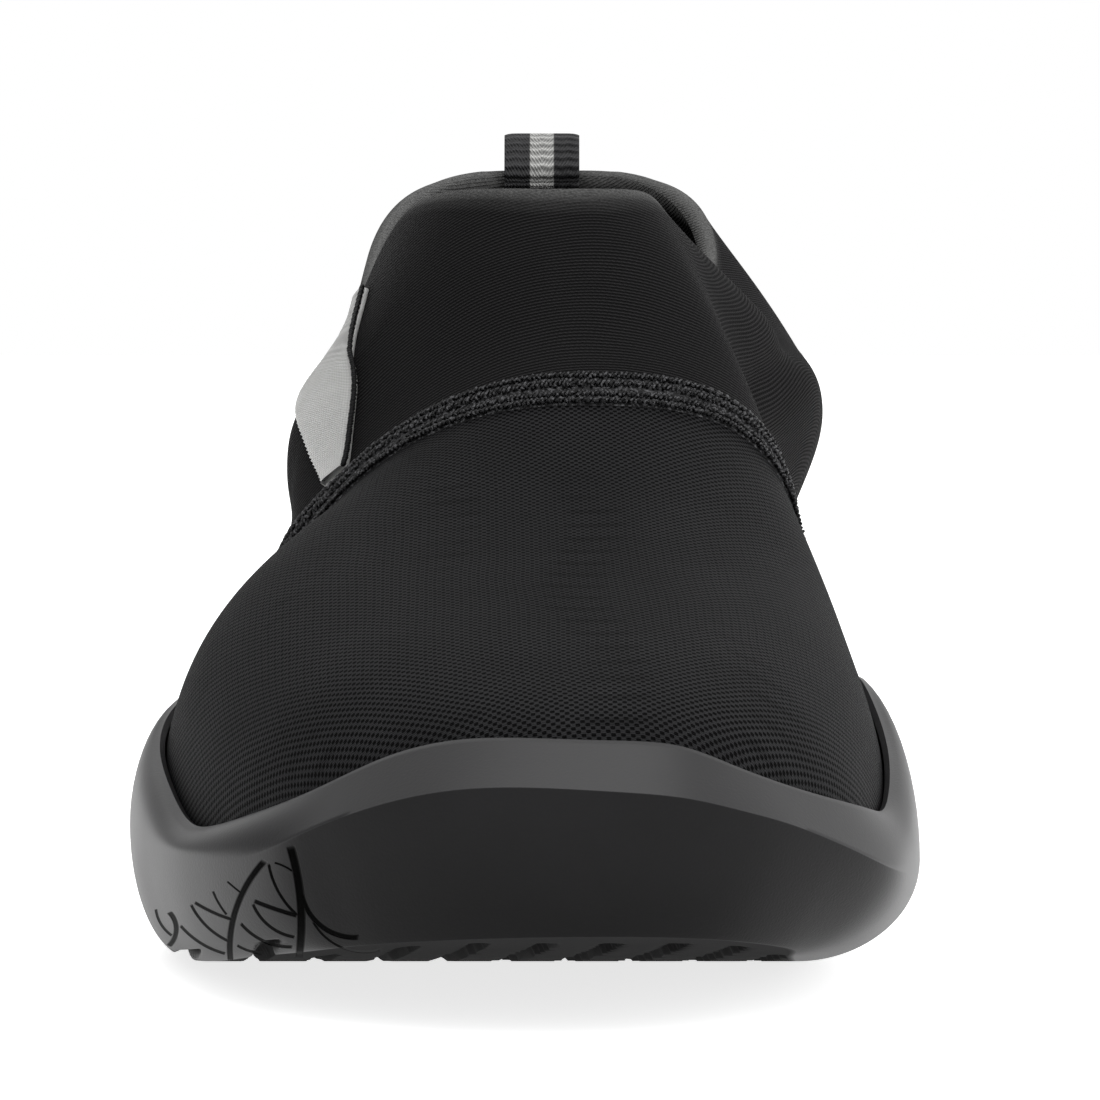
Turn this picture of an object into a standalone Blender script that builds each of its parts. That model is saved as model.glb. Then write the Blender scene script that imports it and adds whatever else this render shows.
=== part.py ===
"""Slip-on water shoe for the right foot.

The toe points to -Y, the lateral side is -X and the medial side +X. Everything is in metres.
A sole tray, an insole, one hollow upper that is open at the collar and underneath, the raised
seam between mesh and neoprene, a woven side tab and a webbing pull loop at the heel.

Every skin comes from the same few functions: plan() is the sole's outline, last_point() the
foot-shaped form that the upper is stretched on, and upper_skin() wraps that form in rings that
run from the sole up to the collar.
"""

import math
from collections import namedtuple

import bmesh
import bpy
import numpy as np

# Overall sizes
LENGTH = 0.288
BALL_WIDTH = 0.108
INSTEP_HEIGHT = 0.105
SIDE_HEIGHT = 0.090
HEEL_HEIGHT = 0.107
RIM_HEIGHT = 0.038

# Sole
TOE_SPRING = 0.014
TOE_ROCKER = 0.105
SPRING_POWER = 1.5
SPRING_INSIDE = 0.82
HEEL_BEVEL = 0.005
HEEL_BEVEL_LENGTH = 0.026
ARCH_LIFT = 0.0025
ARCH_START = 0.140
ARCH_END = 0.192
FOREFOOT_FLOOR = 0.009
HEEL_FLOOR = 0.016
FLOOR_RISE_START = 0.42
FLOOR_RISE_LENGTH = 0.36
EDGE_TUCK = 0.012
SOLE_WALL = 0.0034
RIM_THICKNESS = 0.0014
GROOVE_PITCH = 0.0084
GROOVE_WIDTH = 0.0020
GROOVE_DEPTH = 0.0018
TREAD_MARGIN = 0.017
FOREFOOT_TREAD_END = 0.136
HEEL_TREAD_START = 0.196

# Upper
MESH_WALL = 0.0018
NEOPRENE_WALL = 0.0030
NEOPRENE_STEP = 0.0006
NEOPRENE_EDGE = 0.003
COLLAR_BULGE = 0.0110
HEEL_LEAN = 0.010
HEEL_LEAN_LENGTH = 0.080
SEAM_STATION = 0.449
SEAM_RAKE = 0.55
SEAM_WIDTH = 0.0075
SEAM_THICKNESS = 0.0009

# Insole
INSOLE_THICKNESS = 0.003

# Side tab and pull loop
TAB_REACH = 0.090
TAB_LOW = 0.0625
TAB_HIGH = 0.091
TAB_THICKNESS = 0.0010
TAB_STANDOFF = 0.0003
LOOP_WIDTH = 0.012
LOOP_THICKNESS = 0.0013
LOOP_RISE = 0.0068
LOOP_BOW = 0.0012
LOOP_TAIL = 0.024
LOOP_TUCK = 0.0018
LOOP_OFFSET = -0.0013

FIT_GAP = 0.0003
LATERAL = -1.0
MEDIAL = 1.0

# Plan: station is a share of LENGTH from the toe tip, the sides are shares of BALL_WIDTH from the foot's axis
Plan = namedtuple("Plan", "station lateral medial")
PLAN = (
    Plan(0.000, -0.074, 0.074),
    Plan(0.014, 0.111, 0.222),
    Plan(0.042, 0.231, 0.310),
    Plan(0.087, 0.338, 0.389),
    Plan(0.156, 0.431, 0.434),
    Plan(0.260, 0.503, 0.459),
    Plan(0.365, 0.537, 0.443),
    Plan(0.469, 0.509, 0.389),
    Plan(0.590, 0.440, 0.333),
    Plan(0.694, 0.394, 0.320),
    Plan(0.799, 0.369, 0.336),
    Plan(0.885, 0.344, 0.344),
    Plan(0.955, 0.250, 0.259),
    Plan(1.000, 0.000, 0.000),
)

# Top edge of the sole's wall, as shares of RIM_HEIGHT
Rim = namedtuple("Rim", "station lateral medial")
RIM = (
    Rim(0.000, 0.952, 0.952),
    Rim(0.004, 0.957, 0.932),
    Rim(0.014, 0.945, 0.872),
    Rim(0.035, 0.878, 0.797),
    Rim(0.063, 0.772, 0.735),
    Rim(0.111, 0.655, 0.668),
    Rim(0.153, 0.590, 0.650),
    Rim(0.188, 0.570, 0.710),
    Rim(0.278, 0.745, 0.965),
    Rim(0.361, 0.905, 0.950),
    Rim(0.451, 0.850, 0.870),
    Rim(0.573, 0.680, 0.775),
    Rim(0.729, 0.720, 0.775),
    Rim(0.868, 0.890, 0.900),
    Rim(1.000, 1.000, 1.000),
)

# Side of the sole: belt is the height of its widest line as a share of RIM_HEIGHT, tuck how far the
# bottom edge lies inside it as a share of EDGE_TUCK, and crease how sharp that line is
Side = namedtuple("Side", "station belt_lateral belt_medial tuck_lateral tuck_medial crease_lateral crease_medial")
SIDE = (
    Side(0.000, 0.830, 0.830, 0.50, 0.50, 1.0, 1.0),
    Side(0.004, 0.841, 0.806, 0.50, 0.52, 1.0, 1.0),
    Side(0.014, 0.826, 0.758, 0.50, 0.56, 1.0, 1.0),
    Side(0.028, 0.781, 0.709, 0.50, 0.62, 1.0, 1.0),
    Side(0.062, 0.655, 0.599, 0.55, 0.80, 0.9, 1.0),
    Side(0.094, 0.560, 0.520, 0.65, 1.00, 0.2, 0.8),
    Side(0.135, 0.520, 0.470, 0.62, 1.20, 0.0, 0.3),
    Side(0.208, 0.500, 0.440, 0.66, 1.35, 0.0, 0.0),
    Side(0.365, 0.480, 0.430, 0.68, 1.25, 0.0, 0.0),
    Side(0.600, 0.400, 0.400, 0.70, 0.75, 0.0, 0.0),
    Side(1.000, 0.400, 0.400, 0.60, 0.60, 0.0, 0.0),
)

# Vamp: rise is the crown's height over the sole's floor as a share of that height at the collar's
# front, ridge its place across as a share of BALL_WIDTH, and the rounds are the arch's exponents.
# Behind the collar's front it is the crown that the form would have if the collar didn't cut it
Vamp = namedtuple("Vamp", "station rise ridge round_lateral round_medial")
VAMP = (
    Vamp(0.017, 0.000, 0.074, 2.4, 2.4),
    Vamp(0.023, 0.108, 0.072, 2.4, 2.4),
    Vamp(0.033, 0.183, 0.070, 2.4, 2.4),
    Vamp(0.056, 0.247, 0.065, 2.5, 2.5),
    Vamp(0.090, 0.301, 0.060, 2.6, 2.5),
    Vamp(0.135, 0.359, 0.056, 2.7, 2.5),
    Vamp(0.194, 0.421, 0.050, 2.8, 2.6),
    Vamp(0.257, 0.483, 0.044, 3.0, 2.7),
    Vamp(0.344, 0.578, 0.037, 2.8, 2.8),
    Vamp(0.434, 0.697, 0.028, 1.95, 3.2),
    Vamp(0.500, 0.837, 0.010, 1.62, 3.1),
    Vamp(0.545, 1.000, -0.016, 1.58, 2.5),
    Vamp(0.575, 1.070, -0.020, 1.62, 2.2),
    Vamp(0.620, 1.120, -0.020, 1.70, 2.05),
    Vamp(0.700, 1.155, -0.015, 1.90, 2.05),
    Vamp(0.820, 1.180, -0.008, 2.30, 2.20),
    Vamp(1.000, 1.200, 0.000, 2.70, 2.60),
)
COLLAR_STATION = 0.545

# Collar: share runs from its front to the heel. The top line is SIDE_HEIGHT plus these shares of what
# the instep stands above it, on each side, and of what the heel does
Collar = namedtuple("Collar", "share instep_lateral instep_medial heel")
COLLAR = (
    Collar(0.00, 1.00, 1.00, 0.00),
    Collar(0.05, 0.99, 0.98, 0.00),
    Collar(0.15, 0.90, 0.84, 0.00),
    Collar(0.23, 0.74, 0.60, 0.00),
    Collar(0.29, 0.46, 0.36, 0.00),
    Collar(0.34, 0.18, 0.16, 0.00),
    Collar(0.41, 0.00, 0.02, 0.00),
    Collar(0.50, 0.00, 0.00, 0.03),
    Collar(0.65, 0.00, 0.00, 0.29),
    Collar(0.80, 0.00, 0.00, 0.72),
    Collar(0.92, 0.00, 0.00, 0.96),
    Collar(1.00, 0.00, 0.00, 1.00),
)

# Swell of the quarters, as shares of COLLAR_BULGE
Swell = namedtuple("Swell", "station lateral medial")
SWELL = (
    Swell(0.480, 0.00, 0.00),
    Swell(0.525, 0.24, 0.00),
    Swell(0.560, 0.40, 0.04),
    Swell(0.610, 0.32, 0.48),
    Swell(0.660, 0.26, 1.02),
    Swell(0.725, 0.18, 1.26),
    Swell(0.840, 0.10, 0.80),
    Swell(0.930, 0.04, 0.24),
    Swell(0.985, 0.00, 0.00),
)
SWELL_RAISE_LATERAL = 1.55
SWELL_RAISE_MEDIAL = 2.60
SWELL_PINCH_LATERAL = 10.0
SWELL_PINCH_MEDIAL = 1.3

# Side tab seen from the side: its two edges from the seam up, as shares of TAB_REACH behind the seam
# and of the height from TAB_LOW to TAB_HIGH
Tab = namedtuple("Tab", "front front_up rear rear_up")
TAB = (
    Tab(0.00, 0.09, 0.01, 0.00),
    Tab(0.08, 0.23, 0.12, 0.14),
    Tab(0.17, 0.42, 0.27, 0.34),
    Tab(0.33, 0.70, 0.55, 0.60),
    Tab(0.62, 0.97, 0.88, 0.90),
)

# Back of the heel: height as a share of HEEL_HEIGHT, shift as a share of HEEL_LEAN
Back = namedtuple("Back", "height shift")
BACK = (
    Back(0.00, 0.00),
    Back(0.16, 0.00),
    Back(0.34, 0.08),
    Back(0.56, -0.22),
    Back(0.78, -0.82),
    Back(0.93, -1.00),
    Back(1.00, -0.92),
)

# How the skins are laid out
SMOOTH_ANGLE = 40
STATIONS = 30
UPPER_ROWS = 16
TRAY_ROWS = 4
SIDE_ROWS = 4
SIDE_BEND = 1.32
SIDE_FLATNESS = 0.8
RING_POWER = 1.6
RING_BACK = 0.55
TOP_OF_SEARCH = 0.7
BOTTOM_OF_SEARCH = 0.2
HALVINGS = 34
OVERLAY_START = 0.12
OVERLAY_END = 0.10
TAB_INNER = 0.12
LOOP_LEG_ROWS = 4
LOOP_ARCH_ROWS = 7
LOOP_ARCH_TRIM = 0.09
LOOP_FOOT = 0.08
LOOP_TUCK_START = 0.40
LOOP_SPAN = 0.06
LOOP_CLEARANCE = 0.0009
GROOVE_STEP = 0.016
LATERAL_TREAD = 0.30
HEEL_TREAD_SPAN = 0.12

SOLE_COLOUR = (0.045, 0.045, 0.048)
SOLE_ROUGHNESS = 0.55
CLOTH_COLOUR = (0.018, 0.018, 0.019)
CLOTH_ROUGHNESS = 0.9
TAPE_COLOUR = (0.42, 0.42, 0.41)
TAPE_ROUGHNESS = 0.8

TOE_Y = -LENGTH / 2
HEEL_Y = LENGTH / 2
UPPER_TOE_Y = TOE_Y + VAMP[0].station * LENGTH
UPPER_HEEL_Y = HEEL_Y - SOLE_WALL - FIT_GAP
COLLAR_Y = TOE_Y + COLLAR_STATION * LENGTH
SEAM_Y = TOE_Y + SEAM_STATION * LENGTH


def spline(places, values):
    """A natural cubic spline through the given points, as a function of place."""
    places = np.asarray(places, float)
    values = np.asarray(values, float)
    count = len(places)
    step = np.diff(places)
    matrix = np.eye(count)
    right = np.zeros(count)
    for i in range(1, count - 1):
        matrix[i, i - 1 : i + 2] = step[i - 1], 2 * (step[i - 1] + step[i]), step[i]
        right[i] = 6 * ((values[i + 1] - values[i]) / step[i] - (values[i] - values[i - 1]) / step[i - 1])
    bend = np.linalg.solve(matrix, right)

    def at(place):
        place = np.clip(place, places[0], places[-1])
        i = np.clip(np.searchsorted(places, place) - 1, 0, count - 2)
        after = place - places[i]
        before = places[i + 1] - place
        return (
            (bend[i] * before**3 + bend[i + 1] * after**3) / (6 * step[i])
            + (values[i] / step[i] - bend[i] * step[i] / 6) * before
            + (values[i + 1] / step[i] - bend[i + 1] * step[i] / 6) * after
        )

    return at


def turn(share):
    """Turns a share of a length into an even walk round its ends, so that outlines close in a round."""
    return np.arccos(1 - 2 * np.clip(share, 0, 1)) / math.pi


def smooth(value):
    value = np.clip(value, 0, 1)
    return value * value * (3 - 2 * value)


def columns(table, place, *names):
    """A spline for each named column of a table, over the turned place column."""
    places = turn(np.array([getattr(row, place) for row in table]))
    return [spline(places, [getattr(row, name) for row in table]) for name in names]


plan_lateral, plan_medial = columns(PLAN, "station", "lateral", "medial")
rim_lateral, rim_medial = columns(RIM, "station", "lateral", "medial")
belt_lateral, belt_medial, tuck_lateral, tuck_medial, crease_lateral, crease_medial = columns(
    SIDE, "station", *Side._fields[1:]
)
rise_share, ridge_share, round_lateral, round_medial = columns(VAMP, "station", *Vamp._fields[1:])
collar_lateral, collar_medial, collar_heel = columns(COLLAR, "share", *Collar._fields[1:])
swell_lateral, swell_medial = columns(SWELL, "station", "lateral", "medial")
back_shift = spline([row.height for row in BACK], [row.shift for row in BACK])


def outline_middle():
    """How far the middle of the outline lies from the foot's axis."""
    along = np.linspace(0, 1, 2 * STATIONS + 1)
    return BALL_WIDTH * (float(plan_medial(along).max()) - float(plan_lateral(along).max())) / 2


# The part's origin is the middle of its outline, so the foot's axis lies beside it
AXIS_X = -outline_middle()


def station(y):
    return turn((y - TOE_Y) / LENGTH)


def on_side(side, lateral, medial):
    return np.where(side < 0, lateral, medial)


def plan(side, along):
    """Half width of the sole's outline from the foot's axis, where along is the turned station."""
    return BALL_WIDTH * on_side(side, plan_lateral(along), plan_medial(along))


def spring(y):
    """How far the toe rises off the ground."""
    return TOE_SPRING * np.clip(1 - (y - TOE_Y) / TOE_ROCKER, 0, 1) ** SPRING_POWER


def bottom(y):
    """Height of the tread's face: toe spring, raised arch and bevelled heel."""
    from_toe = y - TOE_Y
    arch_share = np.clip((from_toe - ARCH_START) / (ARCH_END - ARCH_START), 0, 1)
    arch = ARCH_LIFT * np.sin(math.pi * arch_share) ** 2
    bevel = HEEL_BEVEL * np.clip(1 - (HEEL_Y - y) / HEEL_BEVEL_LENGTH, 0, 1) ** 2
    return spring(y) + arch + bevel


def floor(y):
    """Height of the sole's floor inside the shoe."""
    risen = smooth(((y - TOE_Y) / LENGTH - FLOOR_RISE_START) / FLOOR_RISE_LENGTH)
    return spring(y) * SPRING_INSIDE + FOREFOOT_FLOOR + (HEEL_FLOOR - FOREFOOT_FLOOR) * risen


def fold(way):
    """Splits a way round the shoe into its side and how far it is from toe (0) to heel (1)."""
    way = np.mod(way, 2.0)
    side = np.where((way > 0) & (way < 1), LATERAL, MEDIAL)
    return side, np.where(way <= 1, way, 2 - way)


def along_between(front, back, share):
    return front + (back - front) * (1 - np.cos(math.pi * share)) / 2


RISE = INSTEP_HEIGHT - float(floor(COLLAR_Y))


def crown_rise(y):
    """Height of the uncut form's ridge over the floor."""
    return RISE * rise_share(station(y)) / rise_share(station(COLLAR_Y))


def collar_place(y):
    return turn((y - COLLAR_Y) / (UPPER_HEEL_Y - COLLAR_Y))


def top(y, side=MEDIAL):
    """Height of the ridge in front of the collar, and of the top line behind it."""
    place = collar_place(y)
    line = (
        SIDE_HEIGHT
        + (INSTEP_HEIGHT - SIDE_HEIGHT) * on_side(side, collar_lateral(place), collar_medial(place))
        + (HEEL_HEIGHT - SIDE_HEIGHT) * collar_heel(place)
    )
    return np.where(y < COLLAR_Y, floor(y) + crown_rise(y), line)


def last_point(side, y, height):
    """A point of the form: side, place along and height share from the floor (0) to the top (1)."""
    along = turn((y - UPPER_TOE_Y) / (UPPER_HEEL_Y - UPPER_TOE_Y))
    here = station(y)
    ends = 1 - (1 - np.sin(math.pi * along)) ** 3
    outline = plan(side, along) - (SOLE_WALL + FIT_GAP) * ends
    ridge = BALL_WIDTH * ridge_share(here)
    half = outline - side * ridge
    arch = on_side(side, round_lateral(here), round_medial(here))
    rise = top(y, side) - floor(y)
    height = np.clip(height, 0, 1)
    cut = height * np.minimum(1, rise / crown_rise(y).clip(FIT_GAP))
    across = half * (1 - cut**arch) ** (1 / arch)
    swell = COLLAR_BULGE * on_side(side, swell_lateral(here), swell_medial(here))
    raised = height ** on_side(side, SWELL_RAISE_LATERAL, SWELL_RAISE_MEDIAL)
    pinch = on_side(side, SWELL_PINCH_LATERAL, SWELL_PINCH_MEDIAL)
    across = across + swell * np.sin(math.pi * np.clip(raised, 0, 1)) ** pinch
    z = floor(y) + FIT_GAP + (rise - FIT_GAP) * height
    near_heel = smooth((y - UPPER_HEEL_Y + HEEL_LEAN_LENGTH) / HEEL_LEAN_LENGTH)
    back = y + HEEL_LEAN * back_shift(z / HEEL_HEIGHT) * near_heel
    return np.stack(np.broadcast_arrays(AXIS_X + ridge + side * across, back, z), -1)


def ridge_walk():
    """The ridge's arc length against y, from the toe to the collar."""
    y = along_between(UPPER_TOE_Y, UPPER_TOE_Y + 2 * (COLLAR_Y - UPPER_TOE_Y), np.linspace(0, 0.5, 400))
    z = floor(y) + crown_rise(y)
    length = np.concatenate([[0], np.cumsum(np.hypot(np.diff(y), np.diff(z)))])
    return length / length[-1], y


RIDGE_SHARES, RIDGE_PLACES = ridge_walk()


def form(way, level):
    """The bare form in rings: way runs round the shoe, level from the floor (0) to the collar (1)."""
    side, share = fold(way)
    front = np.interp(level**RING_POWER, RIDGE_SHARES, RIDGE_PLACES)
    y = along_between(front, UPPER_HEEL_Y, share)
    backward = np.sin(math.pi / 2 * np.minimum(1, share / RING_BACK)) ** 2
    level_front = crown_rise(front) / crown_rise(np.minimum(y, COLLAR_Y)).clip(1e-9)
    height = backward * level + (1 - backward) * np.minimum(1, level_front)
    return last_point(side, y, height)


def unit(vectors):
    return vectors / np.linalg.norm(vectors, axis=-1, keepdims=True)


def form_normal(way, level):
    small = 1e-3
    low, high = np.clip(level - small, 1e-4, 1), np.clip(level + small, 0, 1)
    round_way = form(way + small, np.maximum(level, 1e-4)) - form(way - small, np.maximum(level, 1e-4))
    return unit(np.cross(form(way, high) - form(way, low), round_way))


def behind_seam(points):
    """Signed distance behind the raked plane in which mesh and neoprene are sewn together."""
    seam_z = float(top(np.array(SEAM_Y)))
    reach = points[..., 1] - SEAM_Y + SEAM_RAKE * (points[..., 2] - seam_z)
    return reach / math.hypot(1, SEAM_RAKE)


def neoprene_share(points):
    return smooth(behind_seam(points) / NEOPRENE_EDGE + 1 / 2)


def upper_skin(way, level, out=0.0):
    """The upper's outer face, moved out by the given distance. Neoprene stands a step over the mesh."""
    points = form(way, level)
    step = NEOPRENE_STEP * neoprene_share(points) + out
    return points + form_normal(way, level) * np.asarray(step)[..., None]


def upper_wall(points):
    return MESH_WALL + (NEOPRENE_WALL - MESH_WALL) * neoprene_share(points)


def find(value, target, low, high):
    """Halves the way from low to high until an array function that rises reaches the target."""
    for _ in range(HALVINGS):
        middle = (low + high) / 2
        below = value(middle) < target
        low, high = np.where(below, middle, low), np.where(below, high, middle)
    return (low + high) / 2


def solid(name, rings, caps, colour, roughness, turned=None):
    """Makes a closed object from rings of points, with a plain material. caps names how its ends close."""
    count = len(rings[0])
    faces = ring_faces(len(rings), count, joined=caps == "joined", turned=turned)
    if caps == "rungs":
        faces += rungs(0, count) + rungs((len(rings) - 1) * count, count)
    elif caps == "flat":
        faces += [tuple(range(count)), tuple(range((len(rings) - 1) * count, len(rings) * count))]
    mesh = bpy.data.meshes.new(name)
    mesh.from_pydata(np.concatenate(rings).tolist(), [], faces)
    body = bmesh.new()
    body.from_mesh(mesh)
    bmesh.ops.recalc_face_normals(body, faces=body.faces)
    bmesh.ops.triangulate(body, faces=[face for face in body.faces if len(face.verts) > 4])
    body.to_mesh(mesh)
    body.free()
    mesh.shade_smooth()
    mesh.set_sharp_from_angle(angle=math.radians(SMOOTH_ANGLE))
    finish = bpy.data.materials.new(name)
    finish.use_nodes = True
    shader = finish.node_tree.nodes["Principled BSDF"]
    shader.inputs["Base Color"].default_value = (*colour, 1)
    shader.inputs["Roughness"].default_value = roughness
    mesh.materials.append(finish)
    thing = bpy.data.objects.new(name, mesh)
    bpy.context.scene.collection.objects.link(thing)
    return thing


def ring_faces(rings, count, joined=False, turned=None):
    """Triangles between each ring of points and the next, and back to the first where they are joined.

    Their diagonals lean the other way in the second half of a ring, so both sides of the shoe match,
    and again from the turned ring on, where rings run downwards, so that both faces of a wall match.
    """
    faces = []
    for ring in range(rings if joined else rings - 1):
        here, there = ring * count, (ring + 1) % rings * count
        for i in range(count):
            j = (i + 1) % count
            if (i < count // 2) == (turned is None or ring < turned):
                faces += [(here + i, here + j, there + i), (here + j, there + j, there + i)]
            else:
                faces += [(here + i, here + j, there + j), (here + i, there + j, there + i)]
    return faces


def rungs(start, count):
    """Fills a ring that runs from toe to heel and back with rungs across it."""
    half = count // 2
    faces = [(start, start + 1, start + count - 1)]
    for i in range(1, half - 1):
        faces.append((start + i, start + i + 1, start + count - i - 1))
        faces.append((start + i, start + count - i - 1, start + count - i))
    faces.append((start + half - 1, start + half, start + half + 1))
    return faces


def ways():
    return np.arange(2 * STATIONS) / STATIONS


def sole_outline(way):
    side, share = fold(way)
    y = along_between(TOE_Y, HEEL_Y, share)
    return np.stack([AXIS_X + side * plan(side, share), y], -1)


def outline_normal(way):
    tangent = sole_outline(way + 1e-3) - sole_outline(way - 1e-3)
    return unit(np.stack([-tangent[..., 1], tangent[..., 0]], -1))


def rim_level(way):
    """The level at which the upper's face reaches the height of the sole's rim."""
    side, share = fold(way)
    target = RIM_HEIGHT * on_side(side, rim_lateral(share), rim_medial(share))
    return find(lambda level: upper_skin(way, level)[..., 2], target, np.zeros_like(way), np.full_like(way, TOP_OF_SEARCH))


def side_profile(way):
    side, share = fold(way)
    belt = RIM_HEIGHT * on_side(side, belt_lateral(share), belt_medial(share))
    tuck = EDGE_TUCK * on_side(side, tuck_lateral(share), tuck_medial(share))
    crease = np.clip(on_side(side, crease_lateral(share), crease_medial(share)), 0, 1)
    return belt, tuck, crease


def lower_side(way, climb):
    """The sole's face from its bottom edge (0) up to its widest line (1)."""
    belt, tuck, crease = side_profile(way)
    power = 2 / (2 - SIDE_FLATNESS * crease)
    angle = climb * math.pi / 2
    inward = tuck * (1 - np.sin(angle) ** power)
    flat = sole_outline(way) - outline_normal(way) * inward[..., None]
    base = bottom(flat[..., 1])
    z = base + (belt - base) * (1 - np.cos(angle) ** power)
    return np.concatenate([flat, z[..., None]], -1)


def upper_side(way, climb):
    """The sole's face from its widest line (0) up to the rim's outer edge (1)."""
    crease = side_profile(way)[2]
    low = lower_side(way, np.ones_like(way))
    high = upper_skin(way, rim_level(way), FIT_GAP + RIM_THICKNESS)
    leaned = (1 - np.cos(climb * SIDE_BEND)) / (1 - math.cos(SIDE_BEND))
    raised = np.sin(climb * SIDE_BEND) / math.sin(SIDE_BEND)
    inward = leaned + (climb - leaned) * crease
    upward = raised + (climb - raised) * crease
    flat = low[..., :2] + (high - low)[..., :2] * inward[..., None]
    z = low[..., 2] + (high - low)[..., 2] * upward
    return np.concatenate([flat, z[..., None]], -1)


def make_sole():
    way = ways()
    rim = rim_level(way)
    rings = [upper_skin(way, rim * (i / TRAY_ROWS), FIT_GAP) for i in range(TRAY_ROWS + 1)]
    rings[0][:, 2] = floor(rings[0][:, 1])
    rings += [upper_side(way, np.full(len(way), 1 - i / SIDE_ROWS)) for i in range(SIDE_ROWS)]
    rings += [lower_side(way, np.full(len(way), 1 - i / SIDE_ROWS)) for i in range(SIDE_ROWS + 1)]
    return solid("sole", rings, "rungs", SOLE_COLOUR, SOLE_ROUGHNESS)


def make_insole():
    """A sheet on the sole's floor, cupped where it meets the upper's inner face."""
    way = ways()

    def inner(level):
        points = form(way, level)
        return points - form_normal(way, level) * (upper_wall(points) + FIT_GAP)[..., None]

    def edge(height):
        target = floor(form(way, np.zeros_like(way))[:, 1]) + height
        level = find(lambda level: inner(level)[..., 2], target, np.zeros_like(way), np.full_like(way, TOP_OF_SEARCH))
        ring = inner(level)
        ring[:, 2] = floor(ring[:, 1]) + height
        return ring

    low = edge(FIT_GAP)
    high = edge(FIT_GAP + INSOLE_THICKNESS)
    return solid("insole", [low, high], "rungs", CLOTH_COLOUR, CLOTH_ROUGHNESS)


def upper_levels(way):
    """The upper's rows: a few inside the sole's tray, and the rest from its rim up to the collar."""
    rim = rim_level(way)
    levels = [rim * (i / TRAY_ROWS) for i in range(TRAY_ROWS)]
    return levels + [rim + (1 - rim) * (i / UPPER_ROWS) for i in range(UPPER_ROWS + 1)]


def make_upper():
    way = ways()
    levels = upper_levels(way)
    outer = [upper_skin(way, level) for level in levels]
    inner = [ring - form_normal(way, level) * upper_wall(ring)[:, None] for level, ring in zip(levels, outer)]
    inner[0][:, 2] = outer[0][:, 2]
    rings = outer + inner[::-1]
    return solid("upper", rings, "joined", CLOTH_COLOUR, CLOTH_ROUGHNESS, turned=len(outer))


def overlay(name, start, thickness, colour, roughness):
    """A shell a fit gap over the whole upper above the sole's rim, to be cut down to what shows."""
    way = ways()
    levels = upper_levels(way)[TRAY_ROWS:]
    levels[0] = levels[0] + (levels[1] - levels[0]) * OVERLAY_START
    levels[-1] = levels[-1] - (levels[-1] - levels[-2]) * OVERLAY_END
    low = [upper_skin(way, level, start) for level in levels]
    high = [upper_skin(way, level, start + thickness) for level in levels]
    return solid(name, high + low[::-1], "joined", colour, roughness, turned=len(high))


def make_vamp_seam():
    """The raised seam that joins mesh and neoprene: a raked slice of the overlay."""
    shell = overlay("vamp_seam", FIT_GAP, SEAM_THICKNESS, CLOTH_COLOUR, CLOTH_ROUGHNESS)
    seam_z = float(top(np.array(SEAM_Y)))
    across = unit(np.array([0, 1, SEAM_RAKE]))
    along = np.array([0, -across[2], across[1]])
    slab = []
    for behind in (-SEAM_WIDTH / 2, SEAM_WIDTH / 2):
        middle = np.array([0, SEAM_Y, seam_z]) + across * behind
        ring = []
        for x, reach in ((-1, -1), (1, -1), (1, 1), (-1, 1)):
            ring.append(middle + np.array([x * BALL_WIDTH, 0, 0]) + along * reach * INSTEP_HEIGHT)
        slab.append(ring)
    cut_with(shell, "INTERSECT", cutter("seam_slab", [slab]))


def make_side_tab():
    """A tape sewn flat on the lateral side, from the seam up to the collar, wider at its top."""
    shell = overlay("side_tab", FIT_GAP + TAB_STANDOFF, TAB_THICKNESS, TAPE_COLOUR, TAPE_ROUGHNESS)
    behind = (SEAM_WIDTH / 2 + FIT_GAP) * math.hypot(1, SEAM_RAKE)
    seam_z = float(top(np.array(SEAM_Y)))

    def corner(reach, up):
        z = TAB_LOW + (TAB_HIGH - TAB_LOW) * up
        return SEAM_Y - SEAM_RAKE * (z - seam_z) + behind + TAB_REACH * reach, z

    outline = [corner(row.front, row.front_up) for row in TAB]
    outline += [corner(row.rear, row.rear_up) for row in TAB][::-1]
    prism = [[(AXIS_X - x, y, z) for y, z in outline] for x in (BALL_WIDTH, BALL_WIDTH * TAB_INNER)]
    cut_with(shell, "INTERSECT", cutter("tab_prism", [prism]))


def heel_line(height, out):
    """The heel's middle line at the given heights, as places along Y."""
    way = np.ones_like(height)
    level = find(lambda level: upper_skin(way, level, out)[..., 2], height, way * BOTTOM_OF_SEARCH, way)
    return upper_skin(way, level, out)[..., 1]


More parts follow.
